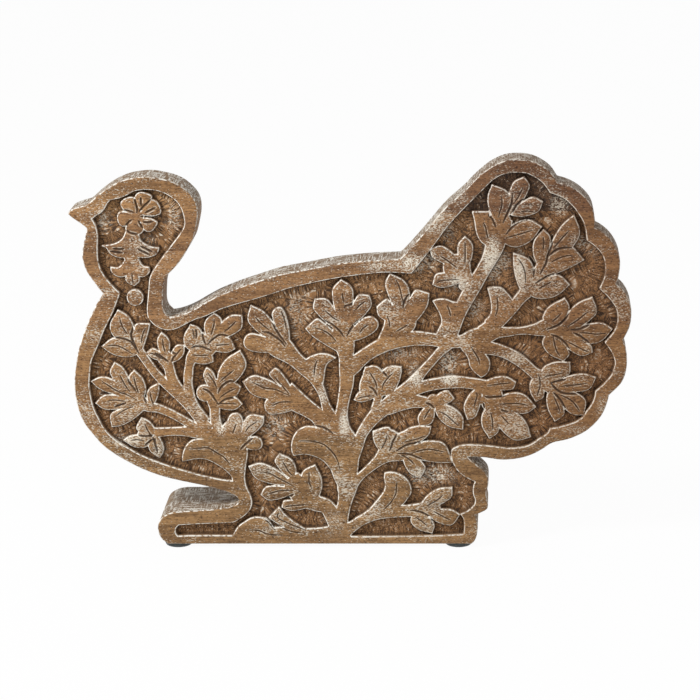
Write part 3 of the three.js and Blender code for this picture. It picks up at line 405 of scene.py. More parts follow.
# Where the whitewash was left thick, or wiped clean: middle of each patch, half its width and height,
# and how thick, below zero where it is clean
PATCHES = [
    [752, 750, 16, 54, 1.0], [801, 730, 10, 42, 0.9], [672, 485, 16, 30, 0.8], [676, 441, 16, 14, 0.9],
    [356, 318, 22, 34, 0.45], [402, 620, 22, 66, 0.35], [612, 450, 14, 34, 0.6], [484, 330, 9, 34, 0.7],
    [446, 405, 9, 24, 0.7], [186, 855, 16, 34, 0.45], [62, 846, 14, 30, 0.4], [586, 505, 36, 18, 0.4],
    [640, 188, 44, 24, 0.6], [905, 790, 24, 26, 0.5], [690, 690, 26, 24, 0.5], [462, 66, 24, 38, 0.3],
    [262, 318, 10, 22, 0.7], [940, 765, 22, 18, 0.4], [330, 437, 24, 12, 0.3], [676, 350, 16, 34, 0.5],
    [790, 500, 30, 16, 0.4], [610, 745, 20, 24, 0.4], [122, 790, 28, 24, 0.35], [300, 330, 26, 28, 0.4],
    [872, 886, 16, 28, 0.8], [770, 742, 14, 22, 0.7], [722, 622, 16, 26, 0.5], [84, 283, 22, 14, 0.5],
    [148, 256, 14, 26, 0.5], [950, 370, 12, 40, 0.4], [905, 312, 30, 14, 0.35], [648, 862, 18, 60, 0.5],
    [690, 920, 18, 30, 0.4], [560, 733, 50, 12, 0.45], [612, 738, 22, 26, 0.7], [945, 860, 30, 60, -0.5],
    [965, 760, 26, 60, -0.5], [985, 610, 18, 60, -0.4], [300, 660, 90, 30, -0.3], [165, 935, 60, 16, -0.4],
    [215, 860, 16, 60, -0.4], [700, 60, 16, 60, -0.4], [620, 22, 110, 14, -0.6], [200, 80, 60, 10, -0.3],
    [10, 440, 20, 90, -0.2], [643, 752, 18, 30, 0.45], [672, 815, 12, 40, 0.35], [875, 768, 20, 26, -0.5],
]

# Heights of the glue lines between the boards
SEAMS = [296, 582, 868]


def at(shares):
    across, up = np.reshape(shares, (-1, 2)).astype(float).T
    up = (up - UNDERSIDE_SHARE) / (WHOLE - UNDERSIDE_SHARE)
    return np.column_stack([(across / WHOLE - 0.5) * WIDTH, UNDERSIDE + up * (HEIGHT - UNDERSIDE)])


def smooth(points, steps=4):
    """A smooth line through points, with that many steps between two of them."""
    slopes = (np.vstack([points[1:], points[-1:]]) - np.vstack([points[:1], points[:-1]])) / 2
    t = np.arange(steps)[:, None, None] / steps
    p, q, u, v = points[None, :-1], points[None, 1:], slopes[None, :-1], slopes[None, 1:]
    line = ((2 * p - 2 * q + u + v) * t + (3 * q - 3 * p - 2 * u - v)) * t * t + u * t + p
    return np.vstack([line.transpose(1, 0, 2).reshape(-1, points.shape[1]), points[-1:]])


def outline(stretches):
    return np.vstack([smooth(at(stretch))[:-1] for stretch in stretches])


def bezier(a, b, c, d, steps=8):
    t = np.linspace(0, 1, steps + 1)[:, None]
    return a * (1 - t) ** 3 + 3 * b * t * (1 - t) ** 2 + 3 * c * t * t * (1 - t) + d * t ** 3


# How far a leaf's curve keeps its direction: at a pointed tip or the root, at a blunt tip, at its widest
POINT_HANDLE, BLUNT_HANDLE, SIDE_HANDLE = 0.25, 0.6, 0.6


def leaf_edge(tip, side, root, blunt):
    axis = (root - tip) / np.linalg.norm(root - tip)
    along = (side - tip) @ axis
    spread = side - tip - axis * along
    tip_handle = tip + (spread * BLUNT_HANDLE if blunt else (side - tip) * POINT_HANDLE)
    remaining = np.linalg.norm(root - tip) - along
    lower_handle = side + axis * remaining * SIDE_HANDLE
    upper = bezier(tip, tip_handle, side - axis * along * SIDE_HANDLE, side)
    lower = bezier(side, lower_handle, root + (lower_handle - root) * POINT_HANDLE, root)
    return np.vstack([upper, lower[1:]])


def leaf_outline(row, blunt=False):
    tip, left, right, root = at(row)
    edge = leaf_edge(tip, left, root, blunt)
    return np.vstack([edge, leaf_edge(tip, right, root, blunt)[-2:0:-1]])


def stem_outline(row, steps=5):
    rows = np.reshape(row, (-1, 3)).astype(float)
    middle = smooth(at(rows[:, :2]), steps)
    half = smooth(rows[:, 2:], steps) / 2 / WHOLE * WIDTH
    ahead = np.gradient(middle, axis=0)
    sideways = np.column_stack([-ahead[:, 1], ahead[:, 0]])
    sideways *= half / np.linalg.norm(sideways, axis=1)[:, None]
    return np.vstack([middle + sideways, (middle - sideways)[::-1]])


def round_outline(row, steps=24):
    turn = np.linspace(0, 2 * math.pi, steps, endpoint=False)[:, None]
    return at(row[:2]) + np.hstack([np.cos(turn), np.sin(turn)]) * row[2] / WHOLE * WIDTH


def chords(path, closed=True):
    """Rows of start and end points along a path."""
    return np.hstack([path, np.roll(path, -1, axis=0)])[:None if closed else -1]


def reach(rows, x, z):
    """Distance to the nearest chord, below zero outside, that nearest point, and how far along it is."""
    best = np.full(x.shape, np.inf)
    near_x, near_z, share = (np.zeros_like(x) for _ in range(3))
    inside = np.zeros(x.shape, bool)
    for place, (x0, z0, x1, z1) in enumerate(rows):
        dx, dz = x1 - x0, z1 - z0
        if dx == 0 and dz == 0:
            continue
        t = np.clip(((x - x0) * dx + (z - z0) * dz) / (dx * dx + dz * dz), 0, 1)
        px, pz = x0 + t * dx, z0 + t * dz
        away = (x - px) ** 2 + (z - pz) ** 2
        closer = away < best
        for kept, new in ((best, away), (near_x, px), (near_z, pz), (share, t + place)):
            np.copyto(kept, new, where=closer)
        if dz:
            inside ^= ((z0 > z) != (z1 > z)) & (x < x0 + (z - z0) * dx / dz)
    best = np.sqrt(best)
    return np.where(inside, best, -best), near_x, near_z, share / len(rows)


def window(path, x, z, margin):
    """The places within a margin of a path's bounding box."""
    low, high = path.min(axis=0) - margin, path.max(axis=0) + margin
    return np.nonzero((x > low[0]) & (x < high[0]) & (z > low[1]) & (z < high[1]))[0]


# Each part of the vine: how deep its crown lies, how far its edge dips below that, how wide the dip is
LEAF_FORM = (0.35 * MM, 1.0 * MM, 2.6 * MM)
LOBE_FORM = (0.35 * MM, 1.0 * MM, 2.4 * MM)
STEM_FORM = (0.45 * MM, 0.7 * MM, 2.2 * MM)
HEART_FORM = (0.5 * MM, 1.0 * MM, 4.0 * MM)
BOSS_FORM = (0.4 * MM, 0.3 * MM, 0.8 * MM)
vine = [(leaf_outline(row), *LEAF_FORM) for row in LEAVES]
vine += [(leaf_outline(row, blunt=True), *LOBE_FORM) for row in LOBES]
vine += [(outline(sides), *LEAF_FORM) for sides in CURLS]
vine += [(stem_outline(row), *STEM_FORM) for row in STEMS]
vine += [(round_outline(ROUNDS[0]), *BOSS_FORM)]
vine += [(round_outline(row), *HEART_FORM) for row in ROUNDS[1:]]
edge_path = outline(EDGE)
ground_path = outline(GROUND)

# A leaf with no midrib in the table gets one down its middle. It starts part of the way from the tip
# to the widest place, and ends part of the way from there to the root.
RIB_START, RIB_END = 0.45, 0.72
veins = [smooth(at(points)) for points in VEINS]
drawn = np.array([vein[len(vein) // 2] for vein in veins])
for row in LEAVES:
    tip, left, right, root = at(row)
    middle = (left + right) / 2
    if not (reach(chords(leaf_outline(row)), drawn[:, 0], drawn[:, 1])[0] > 0).any():
        ends = tip + (middle - tip) * RIB_START, middle + (root - middle) * RIB_END
        veins.append(smooth(np.array([ends[0], middle, ends[1]])))

# Each cut with its half width and its depth. Its ends are narrower and shallower.
VEIN_CUT = (0.7 * MM, 0.55 * MM)
PARTING_CUT = (1.0 * MM, 0.9 * MM)
CUT_ENDS = 5
cuts = [(path, *VEIN_CUT) for path in veins]
cuts += [(smooth(at(points)), *PARTING_CUT) for points in PARTINGS]
FAR = 9.0

RELIEF = 5 * MM
WALL_RUN = 0.9 * MM
BORDER_DIP, BORDER_RUN = 0.3 * MM, 0.9 * MM
# Where the vine grows out of the border it sinks to its own height.
JOIN_DROP, JOIN_RUN, JOIN_END = 1.2 * MM, 1.5 * MM, 3 * MM
# The ground rises a little away from its walls, and swells.
FLOOR_RISE, FLOOR_SWELL, FLOOR_RUN, SWELL_SIZE, SWELL_SEED = 0.25 * MM, 0.2 * MM, 4 * MM, 4.2 * MM, 3
EDGE_ROUND = 0.8 * MM
SHADOW_REACH = 12 * MM
PATCH_FADE = 1.4


def wave(x, z, size, seed):
    """A slow, uneven swell between -1 and 1, a few sizes long."""
    a, b, c = np.random.default_rng(seed).uniform(0, 6, 3)
    u, v = x / size, z / size
    return (np.sin(u + 1.3 * np.sin(v * 0.9 + a)) + np.sin(v * 1.1 + 1.5 * np.sin(u * 0.8 + b) + c)) / 2


def carve(x, z):
    """Depth of the carved face at each place, and the distances that the finish follows."""
    low, high = z.min() - SHADOW_REACH, z.max() + SHADOW_REACH

    def reach_in_band(path):
        rows = chords(path)
        ends = rows[:, [1, 3]]
        return reach(rows[(ends.max(axis=1) > low) & (ends.min(axis=1) < high)], x, z)[:3]

    edge, edge_x, edge_z = reach_in_band(edge_path)
    inner, near_x, near_z = reach_in_band(ground_path)
    cover = np.full(x.shape, -1.0)
    cover_x, cover_z = np.zeros_like(x), np.zeros_like(x)
    lip = np.full(x.shape, BORDER_DIP)
    top = JOIN_DROP * (np.clip(inner, 0, JOIN_END) / JOIN_RUN) ** 1.5
    top += BORDER_DIP * np.clip(1 + np.minimum(inner, 0) / BORDER_RUN, 0, 1) ** 2 * (inner < 0)
    for path, crown, dip, run in vine:
        near = window(path, x, z, SHADOW_REACH)
        if not near.size:
            continue
        distance, px, pz, _ = reach(chords(path), x[near], z[near])
        better = distance > cover[near]
        for kept, new in ((cover, distance), (cover_x, px), (cover_z, pz), (lip, crown + dip + 0 * px)):
            kept[near[better]] = new[better]
        within = distance > 0
        rounded = crown + dip * (1 - np.clip(distance / run, 0, 1)) ** 2
        top[near[within]] = np.minimum(top[near[within]], rounded[within])
    is_vine = -cover < inner
    rim = np.where(is_vine, -cover, inner)
    rim_x, rim_z = np.where(is_vine, cover_x, near_x), np.where(is_vine, cover_z, near_z)
    lip = np.where(is_vine, lip, BORDER_DIP)

    vein = np.full(x.shape, FAR)
    cut = np.zeros_like(x)
    for path, half, deep in cuts:
        near = window(path, x, z, 2 * MM)
        if near.size:
            distance, _, _, share = reach(chords(path, False), x[near], z[near])
            taper = np.clip(np.minimum(share, 1 - share) * CUT_ENDS, 0.3, 1)
            from_middle = np.abs(distance) / (half * (0.55 + 0.45 * taper))
            vein[near] = np.minimum(vein[near], from_middle)
            cut[near] = np.maximum(cut[near], taper * deep * (1 - np.clip(from_middle, 0, 1)))

    thick, wiped = np.zeros_like(x), np.zeros_like(x)
    for u, v, wide, high, much in PATCHES:
        (middle_x, middle_z), (end_x, end_z) = at([u, v, u + wide, v + high])
        away = np.hypot((x - middle_x) / (end_x - middle_x), (z - middle_z) / (end_z - middle_z))
        laid = much * np.clip(PATCH_FADE - away, 0, 1)
        thick, wiped = np.maximum(thick, laid), np.minimum(wiped, laid)

    floor = RELIEF - ((FLOOR_RISE + FLOOR_SWELL * wave(x, z, SWELL_SIZE, SWELL_SEED))
                      * np.clip(rim / FLOOR_RUN, 0, 1))
    depth = np.where(rim >= 0, lip + (floor - lip) * np.clip(rim / WALL_RUN, 0, 1), top + cut)
    corner = EDGE_ROUND - np.clip(edge, 0, EDGE_ROUND)
    depth += EDGE_ROUND - np.sqrt(np.clip(EDGE_ROUND ** 2 - corner ** 2, 0, None))
    return {"depth": depth, "edge": edge, "edge_x": edge_x, "edge_z": edge_z, "rim": rim,
            "rim_x": rim_x, "rim_z": rim_z, "vein": vein, "thick": thick + wiped}


CELL = 0.55 * MM
PULL_REACH = 0.9 * CELL


def pull(field, near_x, near_z, x, z, still, seams):
    """Moves the nearer place of each pair that a line runs between onto that line."""
    chosen = np.zeros(field.shape, bool)
    target_x, target_z = near_x.copy(), near_z.copy()
    seam_rows = [row for row, is_seam in zip((0, -1), seams) if is_seam]
    side = field > 0
    a, b = np.abs(field[:-1]), np.abs(field[1:])
    crossed = side[:-1] != side[1:]
    upper = a > b
    upper[0] |= seams[0]
    if seams[1]:
        upper[-1] = False
    chosen[1:] |= crossed & upper
    chosen[:-1] |= crossed & ~upper
    chosen[seam_rows] = False
    a, b = np.abs(field[:, :-1]), np.abs(field[:, 1:])
    crossed = side[:, :-1] != side[:, 1:]
    right = a > b
    chosen[:, 1:] |= crossed & right
    chosen[:, :-1] |= crossed & ~right
    for row in seam_rows:
        level = x[row, :-1] + (x[row, 1:] - x[row, :-1]) * a[row] / (a[row] + b[row] + 1e-12)
        target_x[row, 1:] = np.where(crossed[row] & right[row], level, target_x[row, 1:])
        target_x[row, :-1] = np.where(crossed[row] & ~right[row], level, target_x[row, :-1])
        target_z[row] = z[row]
    chosen &= ~still & (np.hypot(target_x - x, target_z - z) < PULL_REACH)
    x[chosen], z[chosen] = target_x[chosen], target_z[chosen]
    return chosen


def walk(triangles, count):
    """The longest way round the rim of a sheet of triangles."""
    ends = np.vstack([triangles[:, [0, 1]], triangles[:, [1, 2]], triangles[:, [2, 0]]]).astype(np.int64)
    border = ends[~np.isin(ends[:, 0] * count + ends[:, 1], ends[:, 1] * count + ends[:, 0])]
    following = {}
    for start, end in border.tolist():
        following.setdefault(start, []).append(end)
    loops = []
    while following:
        start = here = next(iter(following))
        loop = []
        while not loop or here != start:
            loop.append(here)
            here = following[loop[-1]].pop()
            if not following[loop[-1]]:
                del following[loop[-1]]
        loops.append(loop)
    return np.array(max(loops, key=len))


def board_face(low_z, high_z, seams, low_x, high_x):
    """The carved face: its places, their marks, its triangles, and the way round its rim."""
    x_line = np.arange(-2, round(WIDTH / CELL) + 3) * CELL - WIDTH / 2
    x_line = x_line[(x_line > low_x) & (x_line < high_x)]
    rows = round((high_z - low_z) / CELL)
    first, last = 0 if seams[0] else -2, rows if seams[1] else rows + 2
    z_line = low_z + np.arange(first, last + 1) * ((high_z - low_z) / rows)
    x, z = (grid.copy() for grid in np.meshgrid(x_line, z_line))
    marks = {key: value.reshape(x.shape) for key, value in carve(x.ravel(), z.ravel()).items()}
    on_edge = pull(marks["edge"], marks["edge_x"], marks["edge_z"], x, z, np.zeros(x.shape, bool), seams)
    inside = np.where(on_edge, 0, np.sign(marks["edge"]))
    pull(np.where(marks["edge"] > 0, marks["rim"], -1), marks["rim_x"], marks["rim_z"], x, z,
         on_edge, seams)
    kept = inside.ravel() >= 0
    index = np.cumsum(kept) - 1
    fx, fz = x.ravel()[kept], z.ravel()[kept]
    marks = carve(fx, fz)
    depth = np.full(kept.shape, 1.0)
    depth[kept] = marks["depth"]
    depth = depth.reshape(x.shape)

    # each cell is parted along the diagonal that is the more level
    number = np.arange(kept.size).reshape(x.shape)
    a, b, c, d = number[:-1, :-1], number[:-1, 1:], number[1:, 1:], number[1:, :-1]
    rising = np.abs(depth[:-1, :-1] - depth[1:, 1:]) <= np.abs(depth[:-1, 1:] - depth[1:, :-1])
    r = kept[a] & kept[c] & (~kept[b] | ~kept[d] | rising)
    f = ~r
    triangles = np.vstack([
        np.column_stack([a[r], b[r], c[r]]), np.column_stack([a[r], c[r], d[r]]),
        np.column_stack([a[f], b[f], d[f]]), np.column_stack([b[f], c[f], d[f]])])
    triangles = triangles[kept[triangles].all(axis=1)]
    touching = (inside.ravel()[triangles] == 0).all(axis=1)
    outside = np.zeros(len(triangles), bool)
    if touching.any():
        middle_x, middle_z = (line.ravel()[triangles[touching]].mean(axis=1) for line in (x, z))
        outside[touching] = reach(chords(edge_path), middle_x, middle_z)[0] < 0
    triangles = index[triangles[~outside]]
    return fx, fz, marks, triangles, walk(triangles, len(fx))


def add_piece(name, mesh, sharp_angle):
    mesh.polygons.foreach_set("use_smooth", [True] * len(mesh.polygons))
    mesh.set_sharp_from_angle(angle=math.radians(sharp_angle))
    piece = bpy.data.objects.new(name, mesh)
    bpy.context.scene.collection.objects.link(piece)
    return piece


BACK_BEVEL = 0.5 * MM
OFF_FACE = -20


def board(name, low_z, high_z, seams, low_x=-1.0, high_x=1.0):
    """A carved board as one closed mesh: the face, its sawn edges and a flat back."""
    fx, fz, marks, triangles, loop = board_face(low_z, high_z, seams, low_x, high_x)
    on_seam = np.zeros(len(loop), bool)
    for is_seam, level in zip(seams, (low_z, high_z)):
        on_seam |= is_seam & (np.abs(fz[loop] - level) < 1e-7)
    ahead, behind = np.roll(loop, -1), np.roll(loop, 1)
    out_x, out_z = fz[ahead] - fz[behind], fx[behind] - fx[ahead]
    length = np.hypot(out_x, out_z) + 1e-9
    out_x, out_z = out_x / length, np.where(on_seam, 0, out_z / length)
    face = np.column_stack([fx, FACE_Y + marks["depth"], fz])
    rings = np.ones(len(loop))
    ring = np.column_stack([fx[loop], (BACK_Y - BACK_BEVEL) * rings, fz[loop]])
    back = ring + BACK_BEVEL * np.column_stack([-out_x, rings, -out_z])
    first, second = len(face), len(face) + len(loop)
    here = np.arange(len(loop))
    after = np.roll(here, -1)
    walls = np.vstack([
        np.column_stack([ahead, loop, first + here, first + after]),
        np.column_stack([first + after, first + here, second + here, second + after])])
    mesh = bpy.data.meshes.new(name)
    mesh.from_pydata(np.vstack([face, ring, back]).tolist(), [],
                     triangles.tolist() + walls.tolist() + [(second + here[::-1]).tolist()])
    thick = (BACK_Y - FACE_Y) / MM
    values = {
        "rim": [marks["rim"] / MM, OFF_FACE * rings, OFF_FACE * rings],
        "edge": [np.clip(marks["edge"], 0, None) / MM, (BACK_BEVEL / MM - thick) * rings, -thick * rings],
        "vein": [marks["vein"], FAR * rings, FAR * rings],
        "thick": [marks["thick"], marks["thick"][loop], marks["thick"][loop]],
        "up": [np.zeros(len(fx)), out_z, out_z],
    }
    values["up"][0][loop] = out_z
    for key, value in values.items():
        attribute = mesh.attributes.new(key, "FLOAT", "POINT")
        attribute.data.foreach_set("value", np.concatenate(value).astype(np.float32))
    stroke = np.zeros((second + len(loop), 3), np.float32)
    stroke[:first, 0], stroke[:first, 2] = marks["rim_x"] / MM, marks["rim_z"] / MM
    mesh.attributes.new("stroke", "FLOAT_VECTOR", "POINT").data.foreach_set("vector", stroke.ravel())
    return add_piece(name, mesh, sharp_angle=42)


def tint(*levels):
    return tuple((level / 255 / 12.92 if level < 11 else ((level / 255 + 0.055) / 1.055) ** 2.4)
                 for level in levels) + (1.0,)


def node(tree, kind, values=None, **settings):
    """A node with its settings, and with its inputs set or joined to other nodes' outputs."""
    made = tree.nodes.new(kind)
    for key, value in settings.items():
        setattr(made, key, value)
    for key, value in (values or {}).items():
        if isinstance(value, bpy.types.NodeSocket):
            tree.links.new(value, made.inputs[key])
        else:
            made.inputs[key].default_value = value
    return made


def maths(tree, operation, *values):
    return node(tree, "ShaderNodeMath", dict(enumerate(values)), operation=operation).outputs[0]


def plus(tree, *values):
    return maths(tree, "ADD", *values)


def times(tree, *values):
    return maths(tree, "MULTIPLY", *values)


def step(tree, value, low, high, start=0.0, end=1.0):
    """Rises smoothly from start to end while the value goes from low to high."""
    made = node(tree, "ShaderNodeMapRange",
                {"Value": value, "From Min": low, "From Max": high, "To Min": start, "To Max": end},
                interpolation_type="SMOOTHSTEP")
    return made.outputs[0]


def noise(tree, vector, stretch, detail=2.0, distortion=0.0, scale=1.0):
    """Uneven marks, so many to a millimetre along, through and up the board."""
    stretched = node(tree, "ShaderNodeVectorMath", {0: vector, 1: stretch}, operation="MULTIPLY")
    made = node(tree, "ShaderNodeTexNoise", {"Vector": stretched.outputs[0], "Scale": scale,
                                             "Detail": detail, "Distortion": distortion})
    return made.outputs[0]


def even_noise(tree, vector, scale, detail=2.0):
    return noise(tree, vector, (1, 1, 1), detail, scale=scale)


def blend(tree, factor, below, above, mode="MIX"):
    made = node(tree, "ShaderNodeMix", {0: factor, 6: below, 7: above}, data_type="RGBA", blend_type=mode)
    return made.outputs[2]


def new_group(name, inputs, outputs):
    group = bpy.data.node_groups.new(name, "ShaderNodeTree")
    for sockets, way in ((inputs, "INPUT"), (outputs, "OUTPUT")):
        for label, kind in sockets:
            group.interface.new_socket(label, in_out=way, socket_type=kind)
    return group, group.nodes.new("NodeGroupInput").outputs, group.nodes.new("NodeGroupOutput").inputs


COLOUR, FLOAT, VECTOR = "NodeSocketColor", "NodeSocketFloat", "NodeSocketVector"

# Planed mango wood: bands along the board, short fibres, and pores
grain, given, made = new_group(
    "mango grain", [("Place", VECTOR), ("Pale", COLOUR), ("Dark", COLOUR)],
    [("Color", COLOUR), ("Height", FLOAT)])
bands = noise(grain, given["Place"], (0.010, 0.05, 0.075), 3.0, 1.5)
fibres = noise(grain, given["Place"], (0.07, 1.2, 1.2), 3.0, 0.3)
mottle = noise(grain, given["Place"], (0.5, 0.9, 0.9))
pores = noise(grain, given["Place"], (0.50, 1.9, 1.9), 1.0)
shade = plus(grain, times(grain, bands, 0.5), times(grain, fibres, 0.5))
shade = step(grain, plus(grain, shade, times(grain, mottle, 0.35)), 0.50, 0.86)
pore = step(grain, pores, 0.42, 0.31)
body = blend(grain, shade, given["Dark"], given["Pale"])
body = blend(grain, times(grain, pore, 0.8), body, given["Dark"], "MULTIPLY")
grain.links.new(body, made["Color"])
grain.links.new(maths(grain, "SUBTRACT", fibres, times(grain, pore, 0.6)), made["Height"])

# Whitewash that was wiped off again: flecks that stay in the pores, thicker in some places
wash, given, made = new_group(
    "wiped whitewash", [("Place", VECTOR), ("Amount", FLOAT)], [("Mask", FLOAT)])
flecks = noise(wash, given["Place"], (0.75, 1.8, 1.8))
patches = noise(wash, given["Place"], (0.03, 0.045, 0.045), 2.0, 0.5)
level = plus(wash, flecks, times(wash, maths(wash, "SUBTRACT", patches, 0.5), 0.6))
level = plus(wash, level, times(wash, maths(wash, "SUBTRACT", given["Amount"], 0.5), 0.5))
wash.links.new(step(wash, level, 0.55, 0.64), made["Mask"])

# Sawn edges that were whitewashed and scuffed: a dull brown under a hatch of pale scratches. Faces that
# look up get more of the brown and far more of the pale scratches: painted light from above.
scuffs_and_light, given, made = new_group(
    "scuffed edge and painted light", [("Place", VECTOR), ("Wood", COLOUR), ("Upward", FLOAT)], [("Color", COLOUR)])
crosswise = noise(scuffs_and_light, given["Place"], (0.11, 0.48, 0.75), 4.0, 0.6)
lengthwise = noise(scuffs_and_light, given["Place"], (1.1, 0.06, 1.1), 4.0, 0.6)
areas = noise(scuffs_and_light, given["Place"], (0.05, 0.09, 0.05), 1.0)
nicks = noise(scuffs_and_light, given["Place"], (1.2, 0.5, 1.2))
crosswise = times(scuffs_and_light, step(scuffs_and_light, crosswise, 0.51, 0.56), step(scuffs_and_light, areas, 0.60, 0.42, 0.3, 1.0))
lengthwise = times(scuffs_and_light, step(scuffs_and_light, lengthwise, 0.52, 0.57), step(scuffs_and_light, areas, 0.40, 0.58, 0.3, 1.0))
scratches = times(scuffs_and_light, maths(scuffs_and_light, "MAXIMUM", crosswise, lengthwise),
                  step(scuffs_and_light, nicks, 0.36, 0.52, 0.35, 1.0))
dulled = blend(scuffs_and_light, times(scuffs_and_light, given["Upward"], 0.75), given["Wood"], tint(110, 90, 68))
pale_share = times(scuffs_and_light, scratches, step(scuffs_and_light, given["Upward"], 0.0, 1.0, 0.2, 0.9))
scuffs_and_light.links.new(blend(scuffs_and_light, pale_share, dulled, tint(224, 220, 210)), made["Color"])

# Chalk, also used for the painted highlight beside the cuts; a brighter chalk, also the painted highlight
# on outer edges that face up; stain, also the painted shade in the cuts and beside the ground's walls
CHALK_AND_HIGHLIGHT = tint(232, 226, 210)
BRIGHT_CHALK_AND_HIGHLIGHT = tint(240, 236, 226)
STAIN_AND_SHADE = tint(48, 34, 22)
RIGHTWARD_TINT = tint(226, 218, 212)


def empty_tree(owner):
    """The cleared nodes of a new material, or of the world."""
    owner.use_nodes = True
    owner.node_tree.nodes.clear()
    return owner.node_tree


def place_in_mm(tree):
    raw = node(tree, "ShaderNodeTexCoord").outputs["Object"]
    return node(tree, "ShaderNodeVectorMath", {0: raw, 3: 1 / MM}, operation="SCALE").outputs[0]


def surface(tree, colour, roughness, height, strength, deep, shine=0.3):
    bump = node(tree, "ShaderNodeBump", {"Strength": strength, "Distance": deep, "Height": height})
    shader = node(tree, "ShaderNodeBsdfPrincipled",
                  {"Base Color": colour, "Roughness": roughness, "Normal": bump.outputs[0],
                   "Specular IOR Level": shine})
    node(tree, "ShaderNodeOutputMaterial", {"Surface": shader.outputs[0]})


def carved_wood(name, pale, dark, ground_pale, ground_dark):
    """Wiped mango wood: chalk on the rims, chisel strokes, painted shade in the cuts and in the ground
    beside its walls (there partly stain), and painted highlights beside the cuts and on edges that face up.
    """
    material = bpy.data.materials.new(name)
    tree = empty_tree(material)
    place = place_in_mm(tree)
    rim, edge, vein, thick, up, stroke = (node(tree, "ShaderNodeAttribute", attribute_name=key).outputs
                                          for key in ("rim", "edge", "vein", "thick", "up", "stroke"))
    rim, edge, vein, thick, up = (outputs["Fac"] for outputs in (rim, edge, vein, thick, up))
    wood = node(tree, "ShaderNodeGroup", {"Place": place, "Pale": pale, "Dark": dark}, node_tree=grain)
    broken = even_noise(tree, place, 0.55)
    fine = even_noise(tree, place, 1.5, 1.0)
    dabs = noise(tree, place, (0.8, 1.5, 1.5), 3.0)
    dabbed = times(tree, step(tree, plus(tree, dabs, times(tree, thick, 0.08)), 0.53, 0.62),
                   step(tree, thick, 0.0, 0.6, 0.0, 0.85))

    # the wiped face
    amount = plus(tree, 0.39, times(tree, step(tree, edge, 14.0, 24.0), 0.06))
    amount = plus(tree, amount, times(tree, thick, 0.3))
    chalk = node(tree, "ShaderNodeGroup", {"Place": place, "Amount": amount}, node_tree=wash)
    colour = blend(tree, times(tree, chalk.outputs[0], 0.55), wood.outputs["Color"], CHALK_AND_HIGHLIGHT)
    colour = blend(tree, dabbed, colour, CHALK_AND_HIGHLIGHT)

    # the sawn edges, painted palest where they face up: painted light from above
    sawn = node(tree, "ShaderNodeGroup", {"Place": place, "Wood": colour,
                                          "Upward": step(tree, up, -0.2, 0.6)}, node_tree=scuffs_and_light)
    colour = blend(tree, step(tree, edge, -0.2, -0.9), colour, sawn.outputs[0])

    # the sunk ground with its chisel strokes
    run = node(tree, "ShaderNodeCombineXYZ", {1: times(tree, rim, 0.14)}).outputs[0]
    along = node(tree, "ShaderNodeVectorMath", {0: stroke["Vector"], 1: run}, operation="ADD")
    strokes = even_noise(tree, along.outputs[0], 1.15)
    stipple = even_noise(tree, place, 1.5)
    mixed = step(tree, even_noise(tree, place, 0.05, 1.0), 0.42, 0.58)
    clean_cut = plus(tree, times(tree, strokes, 0.85), times(tree, stipple, 0.15))
    rough_cut = plus(tree, times(tree, strokes, 0.5), times(tree, stipple, 0.5))
    chisel = node(tree, "ShaderNodeMix", {0: mixed, 2: clean_cut, 3: rough_cut}).outputs[0]
    sunk = blend(tree, step(tree, chisel, 0.40, 0.56), ground_dark, ground_pale)
    light_cut = times(tree, step(tree, chisel, 0.58, 0.62),
                      step(tree, plus(tree, broken, times(tree, thick, 0.15)), 0.40, 0.56, 0.12, 0.85))
    sunk = blend(tree, times(tree, light_cut, step(tree, rim, 1.6, 3.6, 0.25, 0.85)), sunk, CHALK_AND_HIGHLIGHT)
    sunk = blend(tree, times(tree, dabbed, 0.8), sunk, CHALK_AND_HIGHLIGHT)
    # the ground darkens beside its walls: painted shade, and in part a stain that pools there
    sunk = blend(tree, step(tree, rim, 2.2, 0.5, 0.0, 0.7), sunk, STAIN_AND_SHADE)
    in_ground = step(tree, rim, 0.2, 0.55)
    colour = blend(tree, in_ground, colour, sunk)

    # cuts in the leaves, and between them: painted shade in each cut, and a painted highlight beside it
    colour = blend(tree, times(tree, step(tree, vein, 0.85, 0.35), 0.88), colour, STAIN_AND_SHADE)
    flank = times(tree, step(tree, vein, 0.75, 1.05), step(tree, vein, 1.6, 1.15))
    flank = times(tree, flank, step(tree, broken, 0.45, 0.6, 0.05, 0.6))
    colour = blend(tree, flank, colour, CHALK_AND_HIGHLIGHT)

    # chalk caught on the carved rims and on the outer edge; on the outer edge it is painted brighter where
    # the edge faces up, a painted highlight
    line = times(tree, step(tree, rim, -0.55, -0.25), step(tree, rim, 0.3, 0.05))
    line = times(tree, line, step(tree, broken, 0.38, 0.52, 0.15, 1.0))
    outer = times(tree, step(tree, edge, 0.7, 0.3), step(tree, edge, -0.6, -0.2))
    outer = times(tree, outer, step(tree, broken, 0.42, 0.56, 0.05, 1.0))
    outer = times(tree, outer, step(tree, up, -0.5, 0.3, 0.35, 1.0))
    chalk_and_highlight = times(tree, maths(tree, "MAXIMUM", line, outer), step(tree, thick, -0.6, -0.1, 0.35, 1.0))
    colour = blend(tree, chalk_and_highlight, colour, BRIGHT_CHALK_AND_HIGHLIGHT)

    # the boards are darker and redder towards their right hand end
    across = node(tree, "ShaderNodeSeparateXYZ", {0: place}).outputs[0]
    colour = blend(tree, step(tree, across, 20.0, 150.0), colour, RIGHTWARD_TINT, "MULTIPLY")

    ridges = times(tree, chisel, times(tree, in_ground, 7.0))
    height = plus(tree, plus(tree, wood.outputs["Height"], ridges), times(tree, fine, 0.6))
    roughness = plus(tree, step(tree, fine, 0.3, 0.7, 0.6, 0.78), times(tree, line, 0.1))
    surface(tree, colour, roughness, height, 0.8, 0.18 * MM)
    return material


